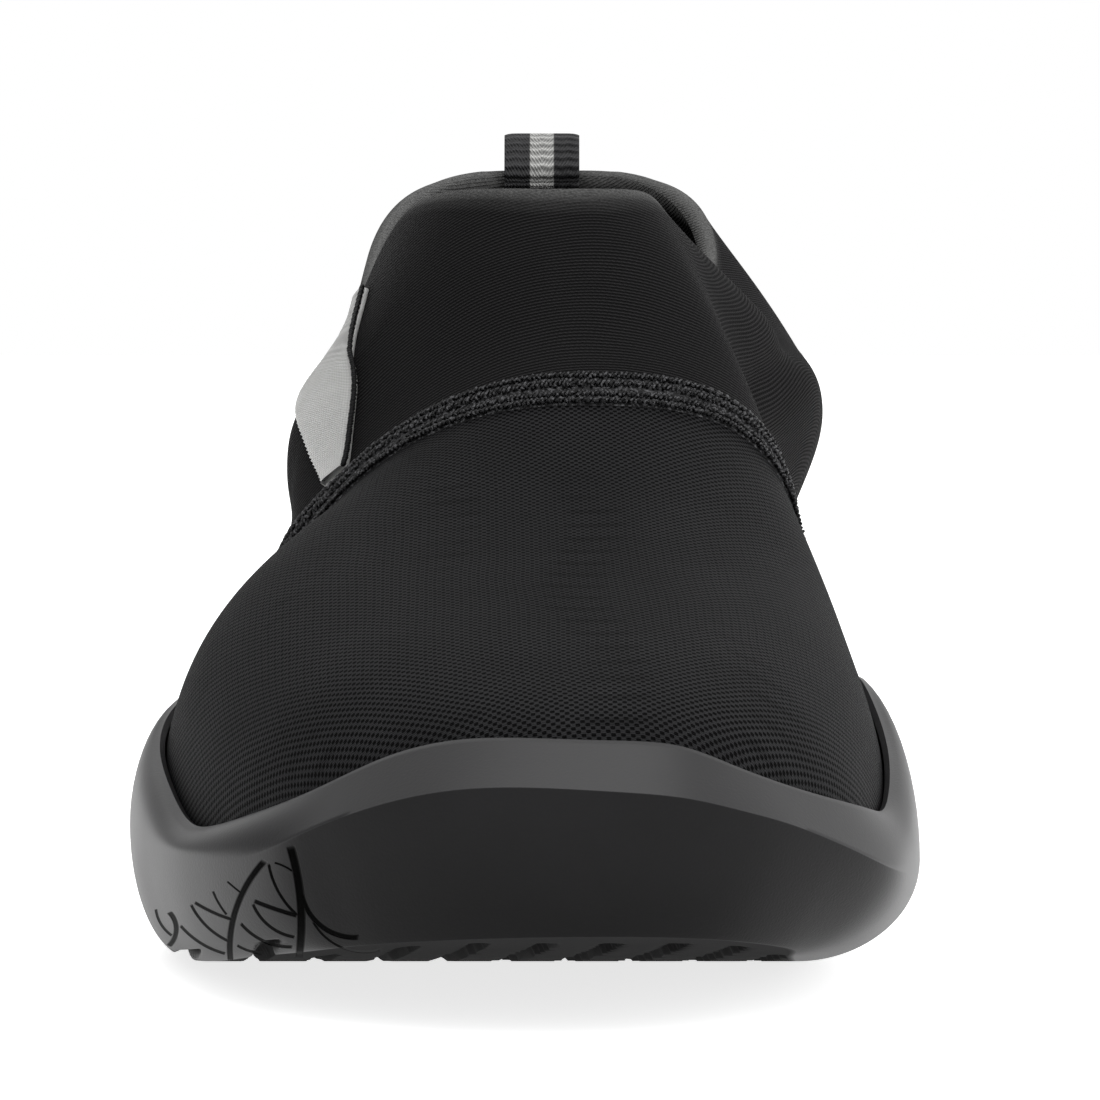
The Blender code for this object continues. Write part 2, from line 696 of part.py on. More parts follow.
def make_pull_loop():
    """A webbing loop over the heel's top edge, sewn on behind and tucked in at the front."""
    reach = FIT_GAP + LOOP_THICKNESS / 2 + LOOP_CLEARANCE
    behind = HEEL_HEIGHT - LOOP_TAIL * np.linspace(1, LOOP_FOOT, LOOP_LEG_ROWS)
    inside = HEEL_HEIGHT - LOOP_TUCK * np.linspace(LOOP_TUCK_START, 1, 2)
    outer = np.stack([heel_line(behind, reach), behind], -1)
    inner = np.stack([heel_line(inside, -NEOPRENE_WALL - reach), inside], -1)
    start, end = outer[-1], inner[0]
    angle = math.pi * np.linspace(LOOP_ARCH_TRIM, 1 - LOOP_ARCH_TRIM, LOOP_ARCH_ROWS)
    middle = (start[0] + end[0]) / 2
    spread = (start[0] - end[0]) / 2 + LOOP_BOW
    rise = HEEL_HEIGHT + LOOP_RISE - LOOP_THICKNESS / 2 - start[1]
    arch = np.stack([middle + spread * np.cos(angle), start[1] + rise * np.sin(angle)], -1)
    line = np.concatenate([outer, arch, inner])
    tangent = unit(np.gradient(line, axis=0))
    normal = np.stack([tangent[:, 1], -tangent[:, 0]], -1)
    corner = upper_skin(np.array([1 - LOOP_SPAN]), np.ones(1))[0] - upper_skin(np.ones(1), np.ones(1))[0]
    bend = abs(corner[1]) / corner[0] ** 2
    x = LOOP_WIDTH * np.linspace(-0.5, 0.5, 5)
    rings = []
    for place, way_out in zip(line, normal):
        ring = []
        for half, columns_x in ((0.5, x), (-0.5, x[::-1])):
            y, z = place + way_out * LOOP_THICKNESS * half
            ring.append(np.stack([AXIS_X + LOOP_OFFSET + columns_x, y - bend * columns_x**2, np.full(len(x), z)], -1))
        rings.append(np.concatenate(ring))
    return solid("pull_loop", rings, "flat", CLOTH_COLOUR, CLOTH_ROUGHNESS)


def cutter(name, rings_of_bodies):
    """One hidden cutting tool from several closed bodies."""
    points, faces = [], []
    for rings in rings_of_bodies:
        start, count = len(points), len(rings[0])
        points += [tuple(point) for ring in rings for point in ring]
        faces += [tuple(start + corner for corner in face) for face in ring_faces(len(rings), count)]
        faces.append(tuple(range(start, start + count)))
        faces.append(tuple(range(start + (len(rings) - 1) * count, start + len(rings) * count)))
    mesh = bpy.data.meshes.new(name)
    mesh.from_pydata(points, [], faces)
    body = bmesh.new()
    body.from_mesh(mesh)
    bmesh.ops.recalc_face_normals(body, faces=body.faces)
    body.to_mesh(mesh)
    body.free()
    tool = bpy.data.objects.new(name, mesh)
    bpy.context.scene.collection.objects.link(tool)
    tool.hide_render = True
    tool.display_type = "WIRE"
    return tool


def cut_with(thing, operation, tool):
    cut = thing.modifiers.new(tool.name, "BOOLEAN")
    cut.operation = operation
    cut.solver = "EXACT"
    cut.object = tool


def middle_line(y):
    """The sole's middle line, half way between its two sides."""
    return AXIS_X + (plan(MEDIAL, station(y)) - plan(LATERAL, station(y))) / 2


def groove(offset, front, back):
    """A groove's cutter along the sole, at an offset from its middle line, as deep as the tread."""
    rings = []
    for y in np.linspace(front, back, max(2, round((back - front) / GROOVE_STEP))):
        x = float(middle_line(np.array(y))) + offset
        low, high = -GROOVE_DEPTH, float(bottom(np.array(y))) + GROOVE_DEPTH
        left, right = x - GROOVE_WIDTH / 2, x + GROOVE_WIDTH / 2
        rings.append([(left, y, low), (right, y, low), (right, y, high), (left, y, high)])
    return rings


def tread_front(offset):
    """Where a forefoot groove starts: inside the toe's edge, but over the edge at the lateral corner."""
    if offset < -BALL_WIDTH * LATERAL_TREAD:
        return TOE_Y - GROOVE_WIDTH
    y = np.linspace(TOE_Y + TREAD_MARGIN, TOE_Y + FOREFOOT_TREAD_END / 2, HALVINGS)
    x = middle_line(y) + offset - AXIS_X
    room = plan(np.sign(x), station(y)) - np.abs(x)
    inside = y[room > TREAD_MARGIN]
    return float(inside[0]) if len(inside) else None


def cut_tread(sole):
    """Grooves run along the forefoot and the heel, out over the lateral edge and the heel's end."""
    count = int(BALL_WIDTH / 2 / GROOVE_PITCH)
    grooves = []
    for k in range(-count, count):
        offset = (k + 1 / 2) * GROOVE_PITCH
        front = tread_front(offset)
        if front is not None:
            grooves.append(groove(offset, front, TOE_Y + FOREFOOT_TREAD_END))
        if abs(offset) < LENGTH * HEEL_TREAD_SPAN:
            grooves.append(groove(offset, TOE_Y + HEEL_TREAD_START, HEEL_Y + GROOVE_WIDTH))
    cut_with(sole, "DIFFERENCE", cutter("tread_cutter", grooves))


def clear_scene():
    for thing in list(bpy.data.objects):
        bpy.data.objects.remove(thing)


def main():
    clear_scene()
    sole = make_sole()
    cut_tread(sole)
    make_insole()
    make_upper()
    make_vamp_seam()
    make_side_tab()
    make_pull_loop()


main()
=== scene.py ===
# Slip-on water shoe for the right foot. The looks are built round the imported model
# Toe to -Y, lateral side -X, medial side +X, all in metres
import math
import bmesh
import bpy
import numpy as np
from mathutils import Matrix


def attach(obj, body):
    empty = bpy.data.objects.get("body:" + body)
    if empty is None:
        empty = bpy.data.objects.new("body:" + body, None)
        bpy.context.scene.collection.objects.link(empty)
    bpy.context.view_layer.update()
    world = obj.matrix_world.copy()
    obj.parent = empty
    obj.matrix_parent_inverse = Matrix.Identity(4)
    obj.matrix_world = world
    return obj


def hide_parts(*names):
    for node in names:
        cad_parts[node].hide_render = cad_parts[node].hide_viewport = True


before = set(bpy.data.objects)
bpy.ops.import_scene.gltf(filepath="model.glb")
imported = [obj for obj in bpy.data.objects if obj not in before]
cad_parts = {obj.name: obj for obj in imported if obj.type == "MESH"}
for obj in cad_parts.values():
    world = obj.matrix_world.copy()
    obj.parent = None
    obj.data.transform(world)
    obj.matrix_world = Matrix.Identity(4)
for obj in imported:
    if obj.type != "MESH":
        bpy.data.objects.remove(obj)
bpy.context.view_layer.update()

# what a user would change about the shoe's form
shoe = {
    "length": 0.288,
    "ballWidth": 0.108,
    "instepHeight": 0.105,
    "sideHeight": 0.090,
    "heelHeight": 0.107,
    "rimHeight": 0.038,
    "toeSpring": 0.014,
    "toeRocker": 0.105,
    "heelBevel": 0.005,
    "heelBevelLength": 0.026,
    "archLift": 0.0025,
    "archStart": 0.140,
    "archEnd": 0.192,
    "forefootFloor": 0.009,
    "heelFloor": 0.016,
    "floorRiseStart": 0.42,
    "floorRiseSpan": 0.36,
    "floorSpringShare": 0.82,
    "edgeTuck": 0.012,
    "sideBend": 1.32,
    "soleWall": 0.0034,
    "rimThickness": 0.0014,
    "meshWall": 0.0018,
    "neopreneWall": 0.0030,
    "neopreneStep": 0.0006,
    "collarBulge": 0.011,
    "heelLean": 0.010,
    "heelLeanLength": 0.080,
    "seamStation": 0.449,
    "seamRake": 0.55,
    "seamWidth": 0.0075,
    "gap": 0.0003,
}

studio = {
    "floorSize": 3.0,
    "floorGlow": 0.77,
    "keyPower": 5.0,
    "leftPower": 0.1,
    "rightPower": 4.5,
    "worldLevel": 1.0,
    "leftLevel": 0.25,
    "pixelScale": 7300.0,
    "cameraBack": 1.045,
    "cameraUp": 0.110,
}

# outline: station is a share of the length, the sides are shares of the ball's width
planTable = {
    "station": (0, 0.014, 0.042, 0.087, 0.156, 0.260, 0.365, 0.469, 0.590, 0.694, 0.799, 0.885, 0.955, 1),
    "lateral": (-0.074, 0.111, 0.231, 0.338, 0.431, 0.503, 0.537, 0.509, 0.440, 0.394, 0.369, 0.344, 0.250, 0),
    "medial": (0.074, 0.222, 0.310, 0.389, 0.434, 0.459, 0.443, 0.389, 0.333, 0.320, 0.336, 0.344, 0.259, 0),
}
# top edge of the sole's wall, as shares of its height at the heel
rimTable = {
    "station": (0, 0.004, 0.014, 0.035, 0.063, 0.111, 0.153, 0.188, 0.278, 0.361, 0.451, 0.573, 0.729, 0.868, 1),
    "lateral": (0.952, 0.957, 0.945, 0.878, 0.772, 0.655, 0.59, 0.57, 0.745, 0.905, 0.85, 0.68, 0.72, 0.89, 1),
    "medial": (0.952, 0.932, 0.872, 0.797, 0.735, 0.668, 0.65, 0.71, 0.965, 0.95, 0.87, 0.775, 0.775, 0.9, 1),
}
# side of the sole: height of its widest line, how far the bottom tucks in, and how sharp that line is
sideTable = {
    "station": (0, 0.004, 0.014, 0.028, 0.062, 0.094, 0.135, 0.208, 0.365, 0.6, 1),
    "beltLateral": (0.83, 0.841, 0.826, 0.781, 0.655, 0.56, 0.52, 0.5, 0.48, 0.4, 0.4),
    "beltMedial": (0.83, 0.806, 0.758, 0.709, 0.599, 0.52, 0.47, 0.44, 0.43, 0.4, 0.4),
    "tuckLateral": (0.5, 0.5, 0.5, 0.5, 0.55, 0.65, 0.62, 0.66, 0.68, 0.7, 0.6),
    "tuckMedial": (0.5, 0.52, 0.56, 0.62, 0.8, 1, 1.2, 1.35, 1.25, 0.75, 0.6),
    "creaseLateral": (1, 1, 1, 1, 0.9, 0.2, 0, 0, 0, 0, 0),
    "creaseMedial": (1, 1, 1, 1, 1, 0.8, 0.3, 0, 0, 0, 0),
}
# crown of the upper: its rise, its place across, and the exponents of the arch on each side
crownTable = {
    "station": (
        0.017, 0.023, 0.033, 0.056, 0.09, 0.135, 0.194, 0.257, 0.344,
        0.434, 0.5, 0.545, 0.575, 0.62, 0.7, 0.82, 1,
    ),
    "rise": (
        0, 0.108, 0.183, 0.247, 0.301, 0.359, 0.421, 0.483, 0.578,
        0.697, 0.837, 1, 1.07, 1.12, 1.155, 1.18, 1.2,
    ),
    "ridge": (
        0.074, 0.072, 0.07, 0.065, 0.06, 0.056, 0.05, 0.044, 0.037,
        0.028, 0.01, -0.016, -0.02, -0.02, -0.015, -0.008, 0,
    ),
    "roundLateral": (2.4, 2.4, 2.4, 2.5, 2.6, 2.7, 2.8, 3, 2.8, 1.95, 1.62, 1.58, 1.62, 1.7, 1.9, 2.3, 2.7),
    "roundMedial": (2.4, 2.4, 2.4, 2.5, 2.5, 2.5, 2.6, 2.7, 2.8, 3.2, 3.1, 2.5, 2.2, 2.05, 2.05, 2.2, 2.6),
}
collarStation = 0.545
# top line of the collar: shares of what the instep and the heel stand over the side
collarTable = {
    "share": (0, 0.05, 0.15, 0.23, 0.29, 0.34, 0.41, 0.5, 0.65, 0.8, 0.92, 1),
    "lateral": (1, 0.99, 0.9, 0.74, 0.46, 0.18, 0, 0, 0, 0, 0, 0),
    "medial": (1, 0.98, 0.84, 0.6, 0.36, 0.16, 0.02, 0, 0, 0, 0, 0),
    "heel": (0, 0, 0, 0, 0, 0, 0, 0.03, 0.29, 0.72, 0.96, 1),
}
swellTable = {
    "station": (0.48, 0.525, 0.56, 0.61, 0.66, 0.725, 0.84, 0.93, 0.985),
    "lateral": (0, 0.24, 0.4, 0.32, 0.26, 0.18, 0.1, 0.04, 0),
    "medial": (0, 0, 0.04, 0.48, 1.02, 1.26, 0.8, 0.24, 0),
}
swellRaise = (1.55, 2.6)  # lateral and medial
swellPinch = (10.0, 1.3)
backTable = {
    "height": (0, 0.16, 0.34, 0.56, 0.78, 0.93, 1),
    "shift": (0, 0, 0.08, -0.22, -0.82, -1, -0.92),
}


# natural cubic spline: the bends m solve
# h[i-1] m[i-1] + 2 (h[i-1] + h[i]) m[i] + h[i] m[i+1] = 6 (slope[i] - slope[i-1])
def spline(places, values):
    places, values = np.array(places, float), np.array(values, float)
    step = np.diff(places)
    slope = np.diff(values) / step
    matrix = np.eye(len(places))
    inner = np.arange(1, len(places) - 1)
    matrix[inner, inner - 1], matrix[inner, inner + 1] = step[:-1], step[1:]
    matrix[inner, inner] = 2 * (step[:-1] + step[1:])
    right = np.zeros(len(places))
    right[1:-1] = 6 * np.diff(slope)
    bend = np.linalg.solve(matrix, right)

    def at(place):
        place = np.clip(place, places[0], places[-1])
        i = np.clip(np.searchsorted(places, place) - 1, 0, len(places) - 2)
        after, before, h = place - places[i], places[i + 1] - place, step[i]
        curved = (bend[i] * before**3 + bend[i + 1] * after**3) / (6 * h)
        start, end = values[i] / h - bend[i] * h / 6, values[i + 1] / h - bend[i + 1] * h / 6
        return curved + start * before + end * after

    return at


def turned(share):  # arccos(1 - 2 s) / pi walks evenly round both ends of a length
    return np.arccos(1 - 2 * np.clip(share, 0, 1)) / math.pi


def smooth(value):  # 3 t^2 - 2 t^3 between 0 and 1
    value = np.clip(value, 0, 1)
    return value * value * (3 - 2 * value)


def unit(vectors):
    return vectors / np.maximum(np.linalg.norm(vectors, axis=-1, keepdims=True), 1e-12)


def walked(steps, axis=0):  # running total of the steps, from nought
    total = np.cumsum(steps, axis=axis)
    return np.concatenate([np.zeros_like(np.take(total, [0], axis)), total], axis)


def columns(table, place, turn=True):
    places = np.array(table[place])
    places = turned(places) if turn else places
    return {name: spline(places, values) for name, values in table.items() if name != place}


plan, rim, side, crown = (columns(t, "station") for t in (planTable, rimTable, sideTable, crownTable))
collar, swell = columns(collarTable, "share"), columns(swellTable, "station")
back = columns(backTable, "height", turn=False)

toeY, heelY = -shoe["length"] / 2, shoe["length"] / 2
formToeY = toeY + crownTable["station"][0] * shoe["length"]
formHeelY = heelY - shoe["soleWall"] - shoe["gap"]
collarY = toeY + collarStation * shoe["length"]
seamY = toeY + shoe["seamStation"] * shoe["length"]
outlineSteps = np.linspace(0, 1, 61)
axisX = -shoe["ballWidth"] * (plan["medial"](outlineSteps).max() - plan["lateral"](outlineSteps).max()) / 2


def pick(hand, lateral, medial):
    return np.where(hand < 0, lateral, medial)


def sided(curves, hand, place, name=""):  # the curve of that side, as beltLateral and beltMedial are for belt
    lateral, medial = (name + "Lateral", name + "Medial") if name else ("lateral", "medial")
    return pick(hand, curves[lateral](place), curves[medial](place))


# half width of the sole's outline from the foot's axis
def outlineHalf(hand, along):
    return shoe["ballWidth"] * sided(plan, hand, along)


# spring (1 - y/rocker)^1.5 + arch sin^2 + heel bevel (1 - y/bevel)^2
def bottomZ(y):
    fromToe = y - toeY
    spring = shoe["toeSpring"] * np.clip(1 - fromToe / shoe["toeRocker"], 0, 1) ** 1.5
    archShare = np.clip((fromToe - shoe["archStart"]) / (shoe["archEnd"] - shoe["archStart"]), 0, 1)
    arch = shoe["archLift"] * np.sin(math.pi * archShare) ** 2
    return spring + arch + shoe["heelBevel"] * np.clip(1 - (heelY - y) / shoe["heelBevelLength"], 0, 1) ** 2


# the same spring, a little less of it, + a thickness that grows towards the heel
def floorZ(y):
    share = (y - toeY) / shoe["length"]
    raised = smooth((share - shoe["floorRiseStart"]) / shoe["floorRiseSpan"])
    thickness = shoe["forefootFloor"] + (shoe["heelFloor"] - shoe["forefootFloor"]) * raised
    rocker = np.clip(1 - (y - toeY) / shoe["toeRocker"], 0, 1) ** 1.5
    return shoe["floorSpringShare"] * shoe["toeSpring"] * rocker + thickness


def fold(way):  # way 0 is the toe, 1 the heel, and it comes back to 2 on the medial side
    way = np.mod(way, 2.0)
    return np.where((way > 0) & (way < 1), -1.0, 1.0), np.where(way <= 1, way, 2 - way)


def between(front, rear, share):  # front + (rear - front) (1 - cos(pi s)) / 2
    return front + (rear - front) * (1 - np.cos(math.pi * share)) / 2


collarRise = shoe["instepHeight"] - float(floorZ(np.array(collarY)))


def crownPlace(y):
    return turned((y - toeY) / shoe["length"])


def crownRise(y):
    return collarRise * crown["rise"](crownPlace(y)) / crown["rise"](turned(np.array(collarStation)))


# the ridge in front of the collar, and behind it side + instep share + heel share
def topZ(y, hand=1.0):
    place = turned((y - collarY) / (formHeelY - collarY))
    line = shoe["sideHeight"] + (shoe["instepHeight"] - shoe["sideHeight"]) * sided(collar, hand, place)
    line = line + (shoe["heelHeight"] - shoe["sideHeight"]) * collar["heel"](place)
    return np.where(y < collarY, floorZ(y) + crownRise(y), line)


# x = ridge + hand half (1 - (h rise / crown)^n)^(1/n) + swell sin(pi h^raise)^pinch,  z = floor + h rise
def lastPoint(hand, y, height):
    along = turned((y - formToeY) / (formHeelY - formToeY))
    here = crownPlace(y)
    ends = 1 - (1 - np.sin(math.pi * along)) ** 3
    ridge = shoe["ballWidth"] * crown["ridge"](here)
    half = outlineHalf(hand, along) - (shoe["soleWall"] + shoe["gap"]) * ends - hand * ridge
    arch = sided(crown, hand, here, "round")
    rise = topZ(y, hand) - floorZ(y)
    height = np.clip(height, 0, 1)
    cut = height * np.minimum(1, rise / crownRise(y).clip(shoe["gap"]))
    across = half * (1 - cut**arch) ** (1 / arch)
    bulge = shoe["collarBulge"] * sided(swell, hand, here)
    raised = height ** pick(hand, *swellRaise)
    across = across + bulge * np.sin(math.pi * np.clip(raised, 0, 1)) ** pick(hand, *swellPinch)
    z = floorZ(y) + shoe["gap"] + (rise - shoe["gap"]) * height
    nearHeel = smooth((y - formHeelY + shoe["heelLeanLength"]) / shoe["heelLeanLength"])
    lean = shoe["heelLean"] * back["shift"](z / shoe["heelHeight"]) * nearHeel
    return np.stack(np.broadcast_arrays(axisX + ridge + hand * across, y + lean, z), -1)


# arc length along the ridge, from the toe to the collar
ridgeY = between(formToeY, 2 * collarY - formToeY, np.linspace(0, 0.5, 400))
ridgeZ = floorZ(ridgeY) + crownRise(ridgeY)
ridgeArc = walked(np.hypot(np.diff(ridgeY), np.diff(ridgeZ)))


# rings that hang level behind, and come up to the ridge in front: side, place along, share of the height
def ringPlace(way, level):
    hand, share = fold(way)
    front = np.interp(level**1.6, ridgeArc / ridgeArc[-1], ridgeY)
    y = between(front, formHeelY, share)
    backward = np.sin(math.pi / 2 * np.minimum(1, share / 0.55)) ** 2
    levelFront = crownRise(front) / crownRise(np.minimum(y, collarY)).clip(1e-9)
    return hand, y, backward * level + (1 - backward) * np.minimum(1, levelFront)


def lastForm(way, level):
    return lastPoint(*ringPlace(way, level))


def lastNormal(way, level):  # the cross product of the steps up and round
    small, middle = 1e-3, np.maximum(level, 1e-4)
    up = lastForm(way, np.clip(level + small, 0, 1)) - lastForm(way, np.clip(level - small, 1e-4, 1))
    return unit(np.cross(up, lastForm(way + small, middle) - lastForm(way - small, middle)))


seamZ = float(topZ(np.array(seamY)))


# signed distance behind the raked plane of the seam
def behindSeam(points):
    reach = points[..., 1] - seamY + shoe["seamRake"] * (points[..., 2] - seamZ)
    return reach / math.hypot(1, shoe["seamRake"])


def neopreneShare(points):  # 0 in the mesh and 1 in the neoprene, over 3 mm
    return smooth(behindSeam(points) / 0.003 + 0.5)


def wallAt(points):
    return shoe["meshWall"] + (shoe["neopreneWall"] - shoe["meshWall"]) * neopreneShare(points)


# folds in the neoprene, as height against place along: side, places along and up, depth, width
folds = (
    (1.0, (-0.004, 0.014, 0.036, 0.060, 0.088), (0.0635, 0.0700, 0.0770, 0.0830, 0.0890), -0.0014, 0.0034),
    (1.0, (-0.004, 0.014, 0.036, 0.060, 0.088), (0.0560, 0.0630, 0.0700, 0.0765, 0.0830), 0.0006, 0.0046),
    (-1.0, (-0.002, 0.010, 0.025, 0.045, 0.070), (0.0560, 0.0565, 0.0575, 0.0580, 0.0580), -0.0010, 0.0036),
)


# each fold is depth exp(-((z - line(y)) / width)^2), faded at both ends
def foldDepth(points):
    x, y, z = np.moveaxis(points, -1, 0)
    total = np.zeros(y.shape)
    for hand, along, up, depth, width in folds:
        line = spline(along, up)(y)
        ends = smooth((y - along[0]) / 0.008) * smooth((along[-1] - y) / 0.02)
        total += depth * np.exp(-(((z - line) / width) ** 2)) * ends * (hand * (x - axisX) > 0)
    return total


def upperSkin(way, level, out=0.0):
    points = lastForm(way, level)
    raised = shoe["neopreneStep"] * neopreneShare(points) + foldDepth(points) + out
    return points + lastNormal(way, level) * raised[..., None]


def halve(value, target, low, high):  # bisection on whole arrays, for a value that rises
    for _ in range(30):
        middle = (low + high) / 2
        below = value(middle) < target
        low, high = np.where(below, middle, low), np.where(below, high, middle)
    return (low + high) / 2


# closed or open sheets of quads from a grid of points (rows, columns, 3)
def gridFaces(rows, count, ringed=True, joined=False):
    r = np.arange(rows if joined else rows - 1)[:, None]
    c = np.arange(count if ringed else count - 1)[None, :]
    here, there = r * count, (r + 1) % rows * count
    beside = (c + 1) % count
    return np.stack([here + c, here + beside, there + beside, there + c], -1).reshape(-1, 4)


def addPiece(name, points, faces, finish, node=None, uv=None, marks=None, smoothAngle=180):
    points = np.asarray(points, float).reshape(-1, 3)
    mesh = bpy.data.meshes.new(name)
    mesh.from_pydata(points, [], faces)
    if uv is not None:
        corners = np.empty(len(mesh.loops), np.int32)
        mesh.loops.foreach_get("vertex_index", corners)
        spread = uv.reshape(-1, 2)[corners].astype(np.float32).ravel()
        mesh.uv_layers.new(name="cloth").uv.foreach_set("vector", spread)
    for mark, values in (marks or {}).items():
        values = np.asarray(values, np.float32).ravel()
        mesh.attributes.new(mark, "FLOAT", "POINT").data.foreach_set("value", values)
    mesh.shade_smooth()
    if smoothAngle < 180:
        mesh.set_sharp_from_angle(angle=math.radians(smoothAngle))
    mesh.materials.append(finish)
    piece = bpy.data.objects.new(name, mesh)
    bpy.context.scene.collection.objects.link(piece)
    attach(piece, "root")
    if node:
        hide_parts(node)
    return piece


# tubes along paths (paths, steps, 3): centre + radius (side cos a + up sin a)
def tubes(paths, radius, corners=6):
    paths = np.asarray(paths, float)
    ahead = unit(np.gradient(paths, axis=1))
    sideways = unit(np.cross(ahead, np.array([0.31, 0.17, 0.93])))
    up = np.cross(sideways, ahead)
    angle = np.arange(corners) * 2 * math.pi / corners
    radius = np.broadcast_to(np.asarray(radius, float), paths.shape[:2])[..., None, None]
    circle = sideways[..., None, :] * np.cos(angle)[:, None] + up[..., None, :] * np.sin(angle)[:, None]
    points = paths[..., None, :] + radius * circle
    one = gridFaces(paths.shape[1], corners)
    start = np.arange(len(paths))[:, None, None] * paths.shape[1] * corners
    return points.reshape(-1, 3), (one[None] + start).reshape(-1, 4)


class Wire:
    # one shader socket: sums and products of wires add Math nodes
    def __init__(self, tree, socket=None):
        self.tree, self.socket = tree, socket

    # any node: settings first, then the values or wires of its sockets, by place or by name
    def node(self, kind, settings=None, *values, out=0, **named):
        made = self.tree.nodes.new("ShaderNode" + kind)
        for key, value in (settings or {}).items():
            setattr(made, key, value)
        byName = {key.replace("_", " "): value for key, value in named.items()}
        for key, value in [*enumerate(values), *byName.items()]:
            if isinstance(value, Wire):
                self.tree.links.new(value.socket, made.inputs[key])
            elif value is not None:
                made.inputs[key].default_value = value
        return Wire(self.tree, made.outputs[out] if made.outputs else None)

    def place(self):  # a point in the piece's own space
        return self.node("TexCoord", out=3)

    def cloth(self):
        return self.node("UVMap", {"uv_map": "cloth"})

    def mark(self, name):
        return self.node("Attribute", {"attribute_name": name}, out=2)

    def maths(self, operation, *values):
        return self.node("Math", {"operation": operation}, *values)

    def __add__(self, other):
        return self.maths("ADD", self, other)

    def __sub__(self, other):
        return self.maths("SUBTRACT", self, other)

    def __rsub__(self, other):
        return self.maths("SUBTRACT", other, self)

    def __mul__(self, other):
        return self.maths("MULTIPLY", self, other)

    __radd__, __rmul__ = __add__, __mul__

    def __abs__(self):
        return self.maths("ABSOLUTE", self)

    def cosine(self):
        return self.maths("COSINE", self)

    def wave(self, pitch):  # cos(2 pi value / pitch)
        return (self * (2 * math.pi / pitch)).cosine()

    def top(self, other):
        return self.maths("MAXIMUM", self, other)

    def low(self, other):
        return self.maths("MINIMUM", self, other)

    def share(self):  # kept between 0 and 1
        return self.top(0.0).low(1.0)

    def step(self, start, end):  # smooth 0 to 1 as the value goes from start to end
        return self.node("MapRange", {"interpolation_type": "SMOOTHSTEP"}, self, start, end, 0, 1)

    def mix(self, one, two):  # this wire is the factor between two colours
        made = self.tree.nodes.new("ShaderNodeMix")
        made.data_type = "RGBA"
        for socket, value in ((made.inputs[0], self), (made.inputs[6], one), (made.inputs[7], two)):
            if isinstance(value, Wire):
                self.tree.links.new(value.socket, socket)
            else:
                socket.default_value = (*value, 1) if isinstance(value, tuple) else value
        return Wire(self.tree, made.outputs[2])


def newFinish(name):
    finish = bpy.data.materials.new(name)
    finish.use_nodes = True
    finish.node_tree.nodes.clear()
    return finish, Wire(finish.node_tree)


# the Principled shader: wires for what varies, plain numbers for the rest, and a bump of the given height
def shade(start, colour, roughness, height=None, bumpDepth=0.0, **constants):
    named = {"Base_Color": colour, "Roughness": roughness, **constants}
    if height is not None:
        named["Normal"] = start.node("Bump", None, Strength=1.0, Distance=bumpDepth, Height=height)
    shader = start.node("BsdfPrincipled", None, **named)
    start.node("OutputMaterial", None, shader)


def noise(start, place, scale, detail=2.0):
    return start.node("TexNoise", None, Vector=place, Scale=scale, Detail=detail)


def axes(start, place):
    parts = start.node("SeparateXYZ", None, place)
    tree = start.tree
    return parts, Wire(tree, parts.socket.node.outputs[1]), Wire(tree, parts.socket.node.outputs[2])


# veins on the lateral front corner as the front shows them, in millimetres from the foot's axis and up
# on a plane at the corner: start, bend and end of each, and its half width
cornerVeins = (
    (-34.4, 18.6, -33.1, 12.0, -33.3, 4.0, 0.55),
    (-37.3, 16.3, -36.0, 12.6, -33.5, 9.5, 0.20),
    (-36.5, 16.5, -35.4, 16.1, -34.2, 15.4, 0.14),
    (-39.2, 11.4, -36.6, 10.4, -33.6, 9.5, 0.30),
    (-39.4, 11.0, -37.6, 8.4, -33.9, 6.6, 0.22),
    (-32.9, 12.3, -30.9, 8.6, -25.4, 6.6, 0.34),
    (-37.9, 16.7, -41.0, 12.0, -42.4, 3.4, 0.42),
    (-47.6, 10.9, -45.7, 8.2, -42.5, 6.0, 0.20),
    (-47.1, 11.2, -44.7, 9.9, -42.0, 8.9, 0.22),
    (-44.7, 12.7, -44.0, 11.2, -42.9, 9.6, 0.16),
    (-42.8, 14.0, -42.0, 13.3, -41.0, 12.5, 0.14),
    (-49.0, 8.1, -46.5, 5.9, -43.1, 4.4, 0.20),
    (-41.0, 8.4, -38.6, 6.4, -34.2, 5.3, 0.22),
    (-41.5, 5.5, -40.0, 4.8, -38.2, 4.5, 0.18),
    (-50.6, 5.4, -49.6, 8.0, -50.5, 9.9, 0.34),
    (-52.3, 10.3, -51.6, 8.3, -50.2, 6.8, 0.18),
    (-31.4, 8.6, -28.0, 5.4, -22.5, 4.9, 0.16),
)
cornerPlane = 0.080  # how far in front of the middle that plane lies


# the circle through the three points of a vein: |distance to the centre - radius|, near the arc's middle
def veinLines(start, uv):
    cut = None
    for ax, az, bx, bz, cx, cz, half in cornerVeins:
        a, b, c = np.array([ax, az]), np.array([bx, bz]), np.array([cx, cz])
        sides = 2 * np.stack([b - a, c - a])
        centre = np.linalg.solve(sides, np.array([b @ b - a @ a, c @ c - a @ a]))
        radius = float(np.linalg.norm(a - centre))
        middle = centre + unit((a + c) / 2 - centre) * radius
        reach = float(np.linalg.norm(a - middle))
        away = start.node("VectorMath", {"operation": "DISTANCE"}, uv, (*centre, 0.0), out=1)
        line = abs(away - radius).step(half * 1.2, half * 0.6)
        near = start.node("VectorMath", {"operation": "DISTANCE"}, uv, (*middle, 0.0), out=1)
        line = line * near.step(reach * 1.03, reach * 0.95)
        cut = line if cut is None else cut.top(line)
    return cut


rubberLook = {
    "dark": (0.0045, 0.0044, 0.0046),
    "pale": (0.0170, 0.0166, 0.0178),
    # near-black vein colour: painted shade in the vein grooves
    "vein": (0.0008, 0.0008, 0.0008),
    "roughness": 0.44,
    "coat": 0.48,
    "veinDepth": 0.0009,
}


